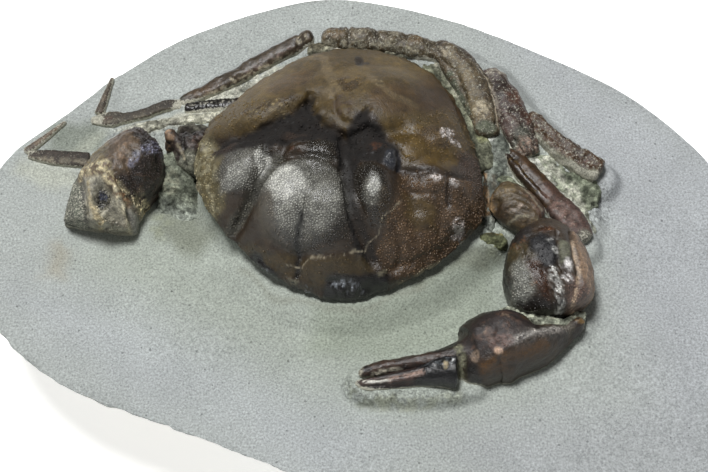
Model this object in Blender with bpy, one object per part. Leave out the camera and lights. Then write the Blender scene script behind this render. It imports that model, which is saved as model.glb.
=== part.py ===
"""A fossil crab standing in relief on the flat face of an oval stone, in metres, +Z up.

The crab lies belly down with its front edge towards -Y, so its own left side is at +X. Its left
claw is whole and curls in front of the shell; its right claw is broken off at the hand. The
stone is a lens: a flat dressed face on top, and a rounded underside with a small flat spot that
it rests on. The origin is the middle of the stone's outline, on that flat spot.

Every size below is in millimetres. Places are measured from a point near the middle of the crab,
and heights of the crab are over the stone's dressed face.
"""

from typing import NamedTuple

import bmesh
import bpy
import numpy as np

MM = 0.001

# Driving dimensions of the stone
STONE_LENGTH = 216.0
STONE_WIDTH = 166.0
STONE_HEIGHT = 34.0
STONE_CENTRE = (1.5, -3.0)

# The stone's outline, anticlockwise from the right: (x, y)
STONE_OUTLINE = (
    (106.5, 2), (95, 25), (75, 46), (48, 62), (20.5, 74), (-8, 80), (-30, 75.5), (-53, 65.3),
    (-71, 52), (-86, 38), (-100.5, 23.5), (-106.5, 4), (-103.5, -18), (-92, -34.5),
    (-75.5, -46.5), (-52, -56), (-24.5, -67.2), (8, -81), (42, -86), (75, -80), (99, -58),
    (109.5, -26),
)  # fmt: skip
# Side and underside, from the rim to the foot: (share of the outline, depth under the face)
STONE_SIDE = ((0.992, 0.5), (1.0, 1.8), (0.978, 4.6), (0.915, 11.5), (0.81, 20.0), (0.67, 28.2))
FOOT_SHARE = 0.47
FOOT_BEVEL = (0.06, 0.5)  # share of the foot's outline, height
FACE_RINGS = 56
STONE_SEGMENTS = 132
STONE_DETAIL = 0.16  # share of the faces kept where the stone is flat

# The carapace: margin points anticlockwise from the crab's left side, (x, y, height)
CARAPACE_MARGIN = (
    (32.3, 6, 12.5), (29.5, 21.5, 14), (22.5, 38.5, 15.5), (11.5, 47.8, 16), (-3, 51, 16),
    (-18, 47.8, 16), (-33, 37.3, 15), (-45, 25, 13), (-47.3, 14.5, 11.5), (-42, 1, 10),
    (-32.5, -10.3, 8.5), (-22, -18.6, 6.5), (-9, -22.8, 5), (4, -20.9, 5.5), (15, -16.2, 7),
    (26, -8.3, 9.5), (31.5, -1, 11.5),
)  # fmt: skip
CARAPACE_CENTRE = (-5.0, 14.0)
CARAPACE_HEIGHT = 29.0
DOME_FLATNESS = 2.3  # above 2, the dome is flatter in the middle than a ball
DOME_SHOULDER = 0.8  # below 1, it meets its margin more steeply
MARGIN_SHARE = 0.12  # share of the way in from the margin over which the swellings set in
CARAPACE_SEGMENTS = 48
CARAPACE_RINGS = 13
# Side wall under the margin: (share of the outline, share of the margin's height)
CARAPACE_WALL = ((0.985, 0.86), (0.95, 0.62), (0.9, 0.32), (0.88, 0.06))

# Swellings of the shell: (x, y, radius across, radius along, height)
CARAPACE_LOBES = (
    (-22, -4, 11, 12, 4.2),  # stomach, right half
    (-9, -8, 9, 12, 3.2),  # stomach, left half
    (-34.5, 8, 9, 10, 3.2),  # right gill, front
    (3, -1, 7.5, 11, 3.0),  # left gill, front
    (22, 2, 12, 9, 2.6),  # left gill, side
    (25, -7, 7, 7, 1.4),  # left corner
    (4, 27, 15, 14, 2.4),  # heart
    (-25, 27, 13, 12, 1.8),  # right gill, rear
    (21, 22, 10, 13, 1.6),  # left gill, rear
)
# Furrows between the swellings: (depth, width, points)
CARAPACE_FURROWS = (
    (2.6, 2.6, ((-42, 18), (-34, 18.5), (-27, 18), (-19, 23), (-13, 26))),
    (2.4, 2.6, ((-18, 17), (-10, 17.5), (-5, 13.5), (-4, 5), (1, -9), (6, -17))),
    (2.4, 2.2, ((-26, 9), (-30, 0), (-35, -7), (-37, -10))),
    (1.2, 1.8, ((-15.5, -5), (-17.5, -15), (-19, -21))),
    (2.0, 2.4, ((-5, 13.5), (3, 15), (9, 17))),
    (1.2, 2.4, ((12, 3), (13, -8), (10, -17))),
)

GAP = 0.35  # between a piece and what it sits against
SHARP_ANGLE = 0.9  # radians between two faces from which their edge is shaded sharp


class Limb(NamedTuple):
    """A claw or leg piece: a tube with rounded ends that follows its stations."""

    name: str
    stations: tuple  # (x, y, height of the axis, half width, half thickness)
    ends: tuple  # length of the rounding at the first and the last station
    around: int
    along: int
    slot: str
    cut_by: tuple = ()  # neighbours that this piece makes room for


LIMBS = (
    Limb(
        "left_claw_arm",
        ((34.5, 8.5, 9, 6, 5), (39.3, 6.5, 9.5, 6.5, 5.5), (44, 3, 9, 6, 5), (48, -0.5, 8, 4.5, 4)),
        (3, 3), 14, 7, "claw_shell", ("carapace", "left_claw_wrist"),
    ),
    Limb(
        "left_claw_wrist",
        (
            (42, -2, 7.5, 6, 5.5), (44.6, -6.6, 9, 9.8, 8.5), (47.6, -13, 10, 11.8, 9.8),
            (50.6, -19.5, 9, 10.8, 9), (53.4, -26, 6.5, 5.6, 5.5),
        ),
        (4, 4.5), 18, 8, "claw_shell", (),
    ),
    Limb(
        "left_claw_hand",
        (
            (56.5, -28.2, 5.6, 2.2, 2.4), (53.5, -30, 5.4, 3, 3.2), (49.3, -32, 6.2, 5.4, 5.2),
            (43.8, -33.9, 7.4, 8.4, 7), (38, -35.6, 7.8, 9.9, 7.8), (32, -37.9, 6.9, 9, 7.2),
            (26.6, -39.7, 5.8, 6.6, 5.8), (21.7, -39.7, 5.3, 3.5, 4), (16, -40.1, 5, 2.4, 2.8),
            (8.9, -41, 4.6, 2, 2.3), (3.2, -41.9, 4.1, 1.8, 2), (-2, -43.2, 3.6, 1.1, 1.3),
        ),
        (2, 1.4), 14, 19, "claw_shell", ("left_claw_wrist", "left_claw_finger"),
    ),
    Limb(
        "left_claw_finger",
        (
            (24.6, -43, 4.4, 4, 4.4), (19.6, -43.5, 4.3, 3.7, 4), (13.5, -44.5, 3.9, 2.6, 3),
            (6.3, -45.3, 3.5, 2.1, 2.3), (1.1, -45.9, 3.1, 1.7, 1.8), (-2.8, -45.6, 2.6, 1, 1.1),
        ),
        (1, 1.2), 12, 11, "claw_shell", (),
    ),
    Limb(
        "left_second_thigh",
        ((38, 23, 6.5, 1.9, 2.2), (42.1, 17, 6.5, 2.2, 2.4), (48.7, 6.9, 5.6, 2.1, 2.2)),
        (1.2, 0.6), 10, 7, "leg_shell", ("left_claw_arm",),
    ),
    Limb(
        "left_second_shin",
        (
            (49.4, 7.2, 6, 2.4, 2.4), (52.4, 4, 5.6, 3, 2.8), (55.7, 0.2, 5, 3, 2.8),
            (58.8, -3.5, 4, 2.6, 2.4),
        ),
        (0.8, 1.2), 10, 6, "leg_shell",
        ("left_second_thigh", "left_claw_wrist", "left_claw_arm"),
    ),
    Limb(
        "left_third_thigh",
        (
            (34.8, 45.6, 9, 3, 3.4), (37.8, 38.4, 9, 3.9, 4), (40.4, 31.2, 8.5, 3.8, 4),
            (43, 23.2, 7.5, 3, 3.4),
        ),
        (2, 1.6), 12, 8, "leg_shell", ("left_rear_thigh",),
    ),
    Limb(
        "left_third_shin",
        (
            (44.4, 32.6, 7.6, 2.8, 3.2), (51, 25.4, 6.8, 3.3, 3.6), (57.3, 20.2, 6, 3.6, 3.8),
            (63.8, 16.2, 4.8, 4.2, 4),
        ),
        (1.6, 1.2), 12, 8, "leg_shell", ("left_third_thigh",),
    ),
    Limb(
        "left_rear_thigh",
        (
            (20, 52.4, 12.5, 3.4, 4), (25, 48.4, 12, 4.5, 4.6), (29.2, 42.4, 11, 5, 4.8),
            (31.8, 35.4, 10, 4.7, 4.6), (33, 28.6, 9, 3.8, 3.8),
        ),
        (2.4, 2.4), 12, 8, "leg_shell", ("carapace",),
    ),
    Limb(
        "tail_band",
        (
            (-11.5, 55.3, 12.5, 2.6, 3.2), (-5.5, 55.4, 13, 3.4, 3.6), (3, 54.8, 13, 3.2, 3.6),
            (11.2, 53.6, 13, 3.4, 3.6), (17.6, 51.6, 13, 3, 3.2),
        ),
        (1.4, 1.4), 10, 10, "leg_shell", ("carapace", "left_rear_thigh"),
    ),
    Limb(
        "right_rear_thigh",
        (
            (-14.4, 57, 11, 3, 3.2), (-19.2, 55, 10.5, 2.6, 3), (-26.5, 51.6, 9, 2.4, 2.8),
            (-34.8, 47.6, 7, 2.3, 2.6), (-43.2, 43.9, 5, 2, 2.2), (-51, 40.8, 3.5, 1.2, 1.6),
        ),
        (1.6, 1.2), 10, 12, "leg_shell", ("carapace", "tail_band"),
    ),
    Limb(
        "right_third_thigh",
        (
            (-28.5, 38.5, 7.4, 1.7, 2), (-36, 37.9, 6.6, 1.8, 2), (-43, 38, 5.6, 1.7, 1.9),
            (-49.6, 38.1, 4.8, 1.4, 1.6),
        ),
        (1, 0.8), 8, 6, "leg_shell", ("carapace",),
    ),
    Limb(
        "right_third_shin",
        (
            (-50.6, 39.2, 3.6, 1.6, 1.6), (-57.1, 38.8, 3, 1.6, 1.5), (-62.7, 37.5, 2.1, 1.9, 1.4),
            (-68.8, 36.2, 1.6, 2.3, 1.3), (-75.6, 36.4, 1.2, 1.6, 1.2),
        ),
        (0.8, 1), 8, 9, "leg_shell", ("right_third_thigh", "right_rear_thigh"),
    ),
    Limb(
        "right_third_toe",
        ((-71.2, 51, 0.9, 0.6, 0.9), (-72.5, 45.4, 1.2, 1, 1.2), (-74.2, 38.2, 1.4, 1.5, 1.3)),
        (1, 0.6), 8, 6, "leg_shell", ("right_third_shin",),
    ),
    Limb(
        "right_second_shin",
        (
            (-75.5, 22.3, 2, 1.7, 1.6), (-82.7, 23.9, 1.6, 1.8, 1.4), (-87.5, 24.7, 1.3, 1.6, 1.3),
            (-92.6, 25.2, 1.1, 1.2, 1.1),
        ),
        (0.8, 0.8), 8, 6, "leg_shell", ("right_claw_hand",),
    ),
    Limb(
        "right_second_toe",
        ((-94, 26, 1.1, 1.2, 1.1), (-90.6, 28.7, 1.2, 1.2, 1.1), (-83.3, 36.2, 0.9, 0.5, 0.9)),
        (0.8, 1), 8, 6, "leg_shell", ("right_second_shin",),
    ),
    Limb(
        "right_claw_arm",
        ((-53, 23, 11.5, 4, 4), (-48.8, 21.2, 10.5, 6, 5), (-43, 19.5, 10, 7, 5.5)),
        (1.6, 2), 12, 5, "claw_shell", ("carapace", "right_claw_hand"),
    ),
    Limb(
        "right_claw_hand",
        (
            (-54.4, 22.8, 11.5, 5, 5), (-58.4, 20.6, 12, 9.2, 8), (-63.2, 16.6, 11.5, 11, 10),
            (-67.4, 11.4, 10, 10.8, 10.5), (-69.8, 5, 8, 10.6, 9.5), (-70.6, -1, 6, 10.4, 7.5),
        ),
        (3, 0.8), 18, 8, "claw_shell", (),
    ),
)  # fmt: skip

# The ridge of stone under each piece: how far its top lies below the piece's axis, as a share of
# the half thickness, its half width, as a share of the piece's, and the width of its slope
LEG_RIDGE = (0.25, 0.8, 3.0)
CLAW_RIDGE = (0.8, 0.6, 2.2)
RIDGE_MARGIN = 0.7
LEAST_RUN = 0.95  # width of any slope of stone, as a share of its height, at the least

# More raised stone: (slope width, (x, y, height, half width), ...)
STONE_SWELLS = (
    (9.0, (-30, -12, 3.4, 2), (-20, -18.6, 3.6, 2), (-9, -21.8, 3.6, 2), (4, -20, 3.8, 2),
     (15, -15, 4.4, 2), (26, -7.4, 5, 2)),  # apron in front of the carapace
    (5.0, (32, -4, 6.5, 2.5), (36, -2, 6, 2.5)),  # between the carapace and the left wrist
    (5.0, (-22, 49, 8, 3), (-32, 44, 6, 3.5), (-42, 40.5, 4, 3), (-50, 39, 2.6, 2)),
    (4.0, (-37, 33.5, 6.5, 3), (-50, 32, 5, 3), (-62, 31, 3, 3), (-69, 27, 3, 2.5)),
    (4.0, (44, 28, 6, 2.5), (52, 18, 4.5, 3), (58, 12, 2.8, 2.5), (61, 2, 1.6, 1.5)),
    (2.5, (38, 18, 6, 1.6), (44, 10, 5.4, 1.6), (50, 2, 4.5, 1.4)),
    (3.0, (33.5, 27, 9, 2.5), (35.5, 20, 8.4, 2.5), (36, 12, 7.6, 2)),
    (2.0, (-1, -46.8, 3.0, 1.6), (8, -47.4, 3.0, 2.2), (20, -47, 3.2, 2.4), (28, -46.6, 3, 1.2)),
)  # fmt: skip
PEDESTAL_SHARE = 0.62  # height of the stone under the carapace, as a share of the margin's
PEDESTAL_REACH = 0.9  # share of the carapace's outline where that stone starts to fall away
PEDESTAL_SLOPE = 0.14
FILLET_POWER = 5  # the higher, the sharper the angle where two swells of stone meet

SLOTS = {  # colour, roughness
    "matrix_stone": ((0.40, 0.42, 0.42), 0.9),
    "carapace_shell": ((0.10, 0.065, 0.035), 0.32),
    "claw_shell": ((0.09, 0.05, 0.03), 0.32),
    "leg_shell": ((0.13, 0.09, 0.06), 0.45),
}


def curve_through(points, count, closed=False):
    """Evenly parametrised Catmull-Rom curve of count points through the given points."""
    points = np.asarray(points, float)
    last = len(points) if closed else len(points) - 1
    if closed:
        padded = np.concatenate([points[-1:], points, points[:2]])
    else:
        ends = 2 * points[0] - points[1], 2 * points[-1] - points[-2]
        padded = np.concatenate([ends[:1], points, ends[1:]])
    places = np.linspace(0, last, count, endpoint=not closed)
    start = np.minimum(places.astype(int), last - 1)
    t = (places - start)[:, None]
    a, b, c, d = (padded[start + k] for k in range(4))
    return 0.5 * (2 * b + (c - a) * t + (2 * a - 5 * b + 4 * c - d) * t**2
                  + (3 * b - a - 3 * c + d) * t**3)  # fmt: skip


def smooth(t):
    """0 to 1 with soft ends."""
    t = np.clip(t, 0, 1)
    return t * t * (3 - 2 * t)


def along_line(x, y, line):
    """Distance from each (x, y) to a line of points, and the line's other values nearest it."""
    line = np.asarray(line, float)
    best = np.full(np.shape(x), np.inf)
    values = np.zeros(np.shape(x) + (line.shape[1] - 2,))
    for start, end in zip(line[:-1], line[1:], strict=True):
        run = end[:2] - start[:2]
        t = np.clip(((x - start[0]) * run[0] + (y - start[1]) * run[1]) / (run @ run), 0, 1)
        distance = np.hypot(x - start[0] - t * run[0], y - start[1] - t * run[1])
        nearer = distance < best
        best = np.where(nearer, distance, best)
        here = start[2:] + t[..., None] * (end[2:] - start[2:])
        values = np.where(nearer[..., None], here, values)
    return best, values


def stone_outline(count):
    """The stone's outline, scaled so that its box is exactly the driving length and width."""
    outline = curve_through(STONE_OUTLINE, count, closed=True)
    low, high = outline.min(0), outline.max(0)
    return (outline - (low + high) / 2) * (STONE_LENGTH, STONE_WIDTH) / (high - low)


def carapace_margin(count):
    """The carapace's margin as (x, y, height)."""
    return curve_through(CARAPACE_MARGIN, count, closed=True)


def carapace_polar(x, y):
    """Each (x, y) as a share of the carapace's outline from its centre, and the margin's height."""
    margin = carapace_margin(360)
    dx, dy = margin[:, 0] - CARAPACE_CENTRE[0], margin[:, 1] - CARAPACE_CENTRE[1]
    angle, reach = np.arctan2(dy, dx), np.hypot(dx, dy)
    order = np.argsort(angle)
    turn = np.arctan2(y - CARAPACE_CENTRE[1], x - CARAPACE_CENTRE[0])
    reach = np.interp(turn, angle[order], reach[order], period=2 * np.pi)
    height = np.interp(turn, angle[order], margin[order, 2], period=2 * np.pi)
    share = np.hypot(x - CARAPACE_CENTRE[0], y - CARAPACE_CENTRE[1]) / reach
    return share, height


def stone_relief(x, y):
    """Height of the dressed stone over its flat face, in the ridges and swells under the crab."""
    share, margin = carapace_polar(x, y)
    fall = (share - PEDESTAL_REACH) / PEDESTAL_SLOPE
    swells = [PEDESTAL_SHARE * margin * smooth(1 - fall)]
    ridges = [(slope, line) for slope, *line in STONE_SWELLS]
    for limb in LIMBS:
        seat, breadth, slope = CLAW_RIDGE if limb.slot == "claw_shell" else LEG_RIDGE
        line = [(sx, sy, z - seat * high, breadth * wide + RIDGE_MARGIN)
                for sx, sy, z, wide, high in limb.stations]  # fmt: skip
        ridges.append((slope, line))
    for slope, line in ridges:
        distance, values = along_line(x, y, line)
        height, half_width = values[..., 0], values[..., 1]
        run = np.maximum(slope, height * LEAST_RUN)
        swells.append(height * smooth(1 - (distance - half_width) / run))
    # The highest swell wins, with a soft fillet where two meet
    return (np.clip(swells, 0, None) ** FILLET_POWER).sum(0) ** (1 / FILLET_POWER)


def make_material(name, slot):
    """A plain Principled material with the slot's colour and roughness."""
    colour, roughness = SLOTS[slot]
    material = bpy.data.materials.new(f"{name}_{slot}")
    material.use_nodes = True
    shader = material.node_tree.nodes["Principled BSDF"]
    shader.inputs["Base Color"].default_value = (*colour, 1)
    shader.inputs["Roughness"].default_value = roughness
    shader.inputs["Metallic"].default_value = 0
    return material


def new_object(name, rings, slot, place, first, last):
    """One closed object from rings of points, with a point at each end and its origin at place."""
    mesh = bpy.data.meshes.new(name)
    shape = bmesh.new()
    place = np.asarray(place, float)
    loops = [[shape.verts.new((p - place) * MM) for p in ring] for ring in np.asarray(rings)]
    for one, other in zip(loops[:-1], loops[1:], strict=True):
        for k in range(len(one)):
            n = (k + 1) % len(one)
            shape.faces.new((one[k], one[n], other[n], other[k]))
    for tip, loop in ((first, loops[0]), (last, loops[-1])):
        point = shape.verts.new((np.asarray(tip) - place) * MM)
        for k in range(len(loop)):
            shape.faces.new((point, loop[k], loop[(k + 1) % len(loop)]))
    bmesh.ops.recalc_face_normals(shape, faces=shape.faces)
    shape.to_mesh(mesh)
    shape.free()
    mesh.shade_smooth()
    mesh.set_sharp_from_angle(angle=SHARP_ANGLE)
    mesh.materials.append(make_material(name, slot))
    piece = bpy.data.objects.new(name, mesh)
    piece.location = (place - (*STONE_CENTRE, 0)) * MM
    bpy.context.scene.collection.objects.link(piece)
    return piece


def build_stone():
    """The lens-shaped stone, its dressed face raised into ridges under the crab."""
    outline = stone_outline(STONE_SEGMENTS)
    centre = np.array(STONE_CENTRE)
    rings = []
    for share in np.linspace(0, 1, FACE_RINGS + 1)[1:]:
        ring = centre + outline * share * STONE_SIDE[0][0]
        rings.append(np.column_stack([ring, stone_relief(*ring.T) + STONE_HEIGHT]))
    wider, lift = FOOT_BEVEL
    bottom = ((FOOT_SHARE * (1 + wider), STONE_HEIGHT - lift), (FOOT_SHARE, STONE_HEIGHT))
    for share, depth in (*STONE_SIDE[1:], *bottom):
        ring = centre + outline * share
        rings.append(np.column_stack([ring, np.full(STONE_SEGMENTS, STONE_HEIGHT - depth)]))
    middle = STONE_HEIGHT + stone_relief(*centre.reshape(2, 1))[0]
    foot = (*centre, 0)
    stone = new_object("stone", rings, "matrix_stone", foot, (*centre, middle), foot)
    face_count = (FACE_RINGS - 1) * STONE_SEGMENTS
    group = stone.vertex_groups.new(name="dressed_face")
    group.add(list(range(face_count)), 1.0, "REPLACE")
    thin = stone.modifiers.new("Thin the flat parts", "DECIMATE")
    thin.ratio = STONE_DETAIL
    thin.vertex_group = group.name
    return stone


def carapace_swell(x, y):
    """Swellings less furrows, in millimetres over the plain dome."""
    height = np.zeros_like(x)
    for cx, cy, across, along, rise in CARAPACE_LOBES:
        reach = ((x - cx) / across) ** 2 + ((y - cy) / along) ** 2
        height += rise * np.clip(1 - reach, 0, None) ** 1.5
    for depth, width, line in CARAPACE_FURROWS:
        distance, _ = along_line(x, y, line)
        height -= depth * np.exp(-((distance / width) ** 2))
    return height


def build_carapace(name="carapace", grow=0.0):
    """The domed shell of the crab's back, open to nothing below: its wall runs into the stone."""
    margin = carapace_margin(CARAPACE_SEGMENTS)
    centre = np.array(CARAPACE_CENTRE)
    offset = margin[:, :2] - centre
    offset *= 1 + grow / np.linalg.norm(offset, axis=1, keepdims=True)

    def ring_at(share, height):
        return np.column_stack([centre + offset * share, height])

    rings = []
    # Rings crowd towards the margin, where the dome is steepest
    for share in (np.arange(1, CARAPACE_RINGS + 1) / CARAPACE_RINGS) ** 0.8:
        ring = ring_at(share, margin[:, 2])
        dome = (1 - share**DOME_FLATNESS) ** DOME_SHOULDER
        edge = smooth((1 - share) / MARGIN_SHARE)
        ring[:, 2] += (CARAPACE_HEIGHT - margin[:, 2]) * dome + grow
        ring[:, 2] += carapace_swell(ring[:, 0], ring[:, 1]) * edge
        rings.append(ring)
    for share, drop in CARAPACE_WALL:
        rings.append(ring_at(share, margin[:, 2] * drop - grow))
    top = CARAPACE_HEIGHT + grow + carapace_swell(*centre.reshape(2, 1))[0]
    floor = CARAPACE_WALL[-1][1] * margin[:, 2].mean() - grow
    tips = (*centre, top + STONE_HEIGHT), (*centre, floor + STONE_HEIGHT)
    rings = np.array(rings) + (0, 0, STONE_HEIGHT)
    return new_object(name, rings, "carapace_shell", (*centre, STONE_HEIGHT), *tips)


def build_limb(limb, name=None, grow=0.0):
    """A claw or leg piece, lofted along its stations with rounded ends."""
    fine = curve_through(limb.stations, 200)
    run = np.diff(fine[:, :3], axis=0)
    length = np.concatenate([[0], np.cumsum(np.linalg.norm(run, axis=1))])
    first, last = limb.ends
    cap = np.sin(np.linspace(0, np.pi / 2, 4))[1:]
    middle = np.linspace(first, length[-1] - last, limb.along)
    start = first * (1 - np.sqrt(1 - cap[:-1] ** 2))
    finish = length[-1] - last * (1 - np.sqrt(1 - cap[:-1] ** 2))[::-1]
    places = np.concatenate([start, middle, finish])
    swell = np.concatenate([cap[:-1], np.ones(limb.along), cap[:-1][::-1]])
    values = np.column_stack([np.interp(places, length, column) for column in fine.T])
    tangent = np.gradient(values[:, :3], axis=0)
    tangent /= np.linalg.norm(tangent, axis=1, keepdims=True)
    side = np.cross(tangent, (0, 0, 1))
    side /= np.linalg.norm(side, axis=1, keepdims=True)
    up = np.cross(side, tangent)
    turn = np.linspace(0, 2 * np.pi, limb.around, endpoint=False)
    wide = (values[:, 3] * swell + grow)[:, None, None]
    high = (values[:, 4] * swell + grow)[:, None, None]
    rings = (values[:, None, :3] + wide * np.cos(turn)[:, None] * side[:, None]
             + high * np.sin(turn)[:, None] * up[:, None])  # fmt: skip
    rings[..., 2] += STONE_HEIGHT
    tips = (fine[0, :3] - grow * tangent[0], fine[-1, :3] + grow * tangent[-1])
    tips = [tip + (0, 0, STONE_HEIGHT) for tip in tips]
    joint = fine[0, :3] + (0, 0, STONE_HEIGHT)
    return new_object(name or limb.name, rings, limb.slot, joint, *tips)


def as_cutter(piece):
    """Marks a piece as a cutter, which isn't part of the model."""
    piece.hide_render = True
    piece.display_type = "WIRE"
    return piece


def cut(piece, cutter):
    """Takes the cutter's shape out of the piece."""
    boolean = piece.modifiers.new(f"Clear of {cutter.name}", "BOOLEAN")
    boolean.operation = "DIFFERENCE"
    boolean.object = cutter
    boolean.solver = "EXACT"


def build():
    """Every piece, each cut clear of the stone that it sits on and of its neighbours."""
    for old in list(bpy.data.objects):
        bpy.data.objects.remove(old)
    stone = build_stone()
    stone_cutter = stone.copy()
    stone_cutter.name = "stone_cutter"
    bpy.context.scene.collection.objects.link(as_cutter(stone_cutter))
    stone_cutter.location.z = GAP * MM

    carapace = build_carapace()
    cutters = {"carapace": as_cutter(build_carapace("carapace_cutter", GAP))}
    cut(carapace, stone_cutter)
    wanted = {name for limb in LIMBS for name in limb.cut_by}
    for limb in LIMBS:
        if limb.name in wanted:
            cutters[limb.name] = as_cutter(build_limb(limb, f"{limb.name}_cutter", GAP))
    for limb in LIMBS:
        piece = build_limb(limb)
        cut(piece, stone_cutter)
        for neighbour in limb.cut_by:
            cut(piece, cutters[neighbour])


build()
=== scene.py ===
"""Looks of a fossil crab that stands in relief on an oval siltstone nodule.

Everything is worked out in crab millimetres: x towards the crab's left claw, y towards its tail,
and z over the stone's dressed face. Surface.place turns that into the row's frame, in metres.
Sizes of the main forms are the same as in the part's source, so each piece here stands exactly
where its CAD solid does; the relief, granules, colours and finish are added on top.
"""

import logging
import math
from collections.abc import Iterable
from dataclasses import dataclass, field
from enum import Enum

import bpy
import numpy as np
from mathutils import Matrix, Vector


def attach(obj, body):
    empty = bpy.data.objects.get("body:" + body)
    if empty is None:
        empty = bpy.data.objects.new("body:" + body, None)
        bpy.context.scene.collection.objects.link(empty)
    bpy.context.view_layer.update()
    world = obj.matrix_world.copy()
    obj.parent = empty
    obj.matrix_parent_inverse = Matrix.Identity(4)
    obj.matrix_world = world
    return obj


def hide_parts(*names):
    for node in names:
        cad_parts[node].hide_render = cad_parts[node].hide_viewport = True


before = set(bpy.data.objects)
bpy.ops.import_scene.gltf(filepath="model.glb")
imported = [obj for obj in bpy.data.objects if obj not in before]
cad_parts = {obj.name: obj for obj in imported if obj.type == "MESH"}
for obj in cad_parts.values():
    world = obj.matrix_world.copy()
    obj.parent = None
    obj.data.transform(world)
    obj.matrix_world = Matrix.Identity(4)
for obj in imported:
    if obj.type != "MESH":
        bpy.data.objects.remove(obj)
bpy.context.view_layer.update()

log = logging.getLogger("fossil_crab")

MM = 0.001
BODY = "root"
ORIGIN = np.array((1.5, -3.0, -34.0))  # the row's origin, in crab millimetres
Numbers = np.ndarray
Line = tuple[tuple[float, ...], ...]
"""Points of a line, as (x, y) or (x, y, more values)."""


class Slot(Enum):
    """Material slots of the pieces."""

    MATRIX = "matrix_stone"
    CARAPACE = "carapace_shell"
    CLAW = "claw_shell"
    LEG = "leg_shell"


# ---------------------------------------------------------------- numbers


def smooth(t: Numbers) -> Numbers:
    """0 to 1 with soft ends."""
    t = np.clip(t, 0, 1)
    return t * t * (3 - 2 * t)


def curve_through(points: Line, count: int, closed: bool = False) -> Numbers:
    """Evenly parametrised Catmull-Rom curve through the given points.

    Args:
        points: the points, each with any number of values.
        count: how many points the curve gets.
        closed: whether the last point joins the first.

    Returns:
        The curve's points, one row each.
    """
    points = np.asarray(points, float)
    last = len(points) if closed else len(points) - 1
    if closed:
        padded = np.concatenate([points[-1:], points, points[:2]])
    else:
        ends = 2 * points[0] - points[1], 2 * points[-1] - points[-2]
        padded = np.concatenate([ends[:1], points, ends[1:]])
    places = np.linspace(0, last, count, endpoint=not closed)
    start = np.minimum(places.astype(int), last - 1)
    t = (places - start)[:, None]
    a, b, c, d = (padded[start + k] for k in range(4))
    bend = (2 * a - 5 * b + 4 * c - d) * t**2 + (3 * b - a - 3 * c + d) * t**3
    return 0.5 * (2 * b + (c - a) * t + bend)


def along_line(x: Numbers, y: Numbers, line: Line) -> tuple[Numbers, Numbers]:
    """Distance from each place to a line, and the line's other values nearest to it.

    Args:
        x: places across.
        y: places along.
        line: the line's points, as (x, y, values...).

    Returns:
        The distances, and an array of the values with one more axis.
    """
    line = np.asarray(line, float)
    best = np.full(np.shape(x), np.inf)
    values = np.zeros(np.shape(x) + (line.shape[1] - 2,))
    for start, end in zip(line[:-1], line[1:], strict=True):
        run = end[:2] - start[:2]
        t = np.clip(((x - start[0]) * run[0] + (y - start[1]) * run[1]) / (run @ run), 0, 1)
        distance = np.hypot(x - start[0] - t * run[0], y - start[1] - t * run[1])
        nearer = distance < best
        best = np.where(nearer, distance, best)
        here = start[2:] + t[..., None] * (end[2:] - start[2:])
        values = np.where(nearer[..., None], here, values)
    return best, values


def hashed(x: Numbers, y: Numbers, z: Numbers, seed: int) -> Numbers:
    """A number from -1 to 1 for each corner of a lattice, always the same for the same corner."""
    mixed = x * 374761393 + y * 668265263 + z * 1442695041 + seed * 362437
    mixed = (mixed ^ (mixed >> 13)) * 1274126177 & 0xFFFFFFFF
    mixed = (mixed ^ (mixed >> 16)) * 2246822519 & 0xFFFFFFFF
    return (mixed ^ (mixed >> 15)) / 0x7FFFFFFF - 1.0


def value_noise(points: Numbers, size: float, seed: int) -> Numbers:
    """Smooth noise from -1 to 1.

    Args:
        points: where, as rows of x, y, z.
        size: width of its lumps, in the points' own unit.
        seed: which noise of many.

    Returns:
        One number for each point.
    """
    places = points / size
    low = np.floor(places).astype(np.int64)
    part = places - low
    part = part * part * part * (part * (part * 6 - 15) + 10)
    total = np.zeros(len(points))
    for corner in range(8):
        step = np.array((corner & 1, corner >> 1 & 1, corner >> 2 & 1))
        weight = np.where(step, part, 1 - part).prod(1)
        total += weight * hashed(*(low + step).T, seed)
    return total


def noise(points: Numbers, size: float, seed: int, octaves: int = 3) -> Numbers:
    """Layered noise, about -1 to 1.

    Args:
        points: where, as rows of x, y, z.
        size: width of the largest lumps, in the points' own unit.
        seed: which noise of many.
        octaves: layers, each half as wide and about half as high as the last.

    Returns:
        One number for each point.
    """
    total = np.zeros(len(points))
    for octave in range(octaves):
        share = 0.55**octave
        total += share * value_noise(points + 17.3 * octave, size / 2**octave, seed + octave)
    return total * 1.25 / sum(0.55**k for k in range(octaves))


def linear(colour: str) -> tuple[float, float, float, float]:
    """An sRGB hex colour such as "#a0b0c0" as linear red, green, blue and alpha."""
    parts = (int(colour[k : k + 2], 16) / 255 for k in (1, 3, 5))
    return (*(c / 12.92 if c <= 0.04045 else ((c + 0.055) / 1.055) ** 2.4 for c in parts), 1.0)


# ---------------------------------------------------------------- areas and relief


@dataclass(frozen=True)
class Spot:
    """A round or oval area.

    Args:
        x, y: its middle.
        across, along: its half widths before it is turned.
        turn: degrees anticlockwise.
    """

    x: float
    y: float
    across: float
    along: float
    turn: float = 0.0

    def reach(self, x: Numbers, y: Numbers) -> Numbers:
        """0 in the middle, 1 at the edge."""
        cos, sin = math.cos(math.radians(self.turn)), math.sin(math.radians(self.turn))
        across = ((x - self.x) * cos + (y - self.y) * sin) / self.across
        along = ((y - self.y) * cos - (x - self.x) * sin) / self.along
        return np.hypot(across, along)

    def cover(self, x: Numbers, y: Numbers) -> Numbers:
        """1 inside, 0 outside, with a soft edge."""
        return smooth((1.25 - self.reach(x, y)) / 0.5)


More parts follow.
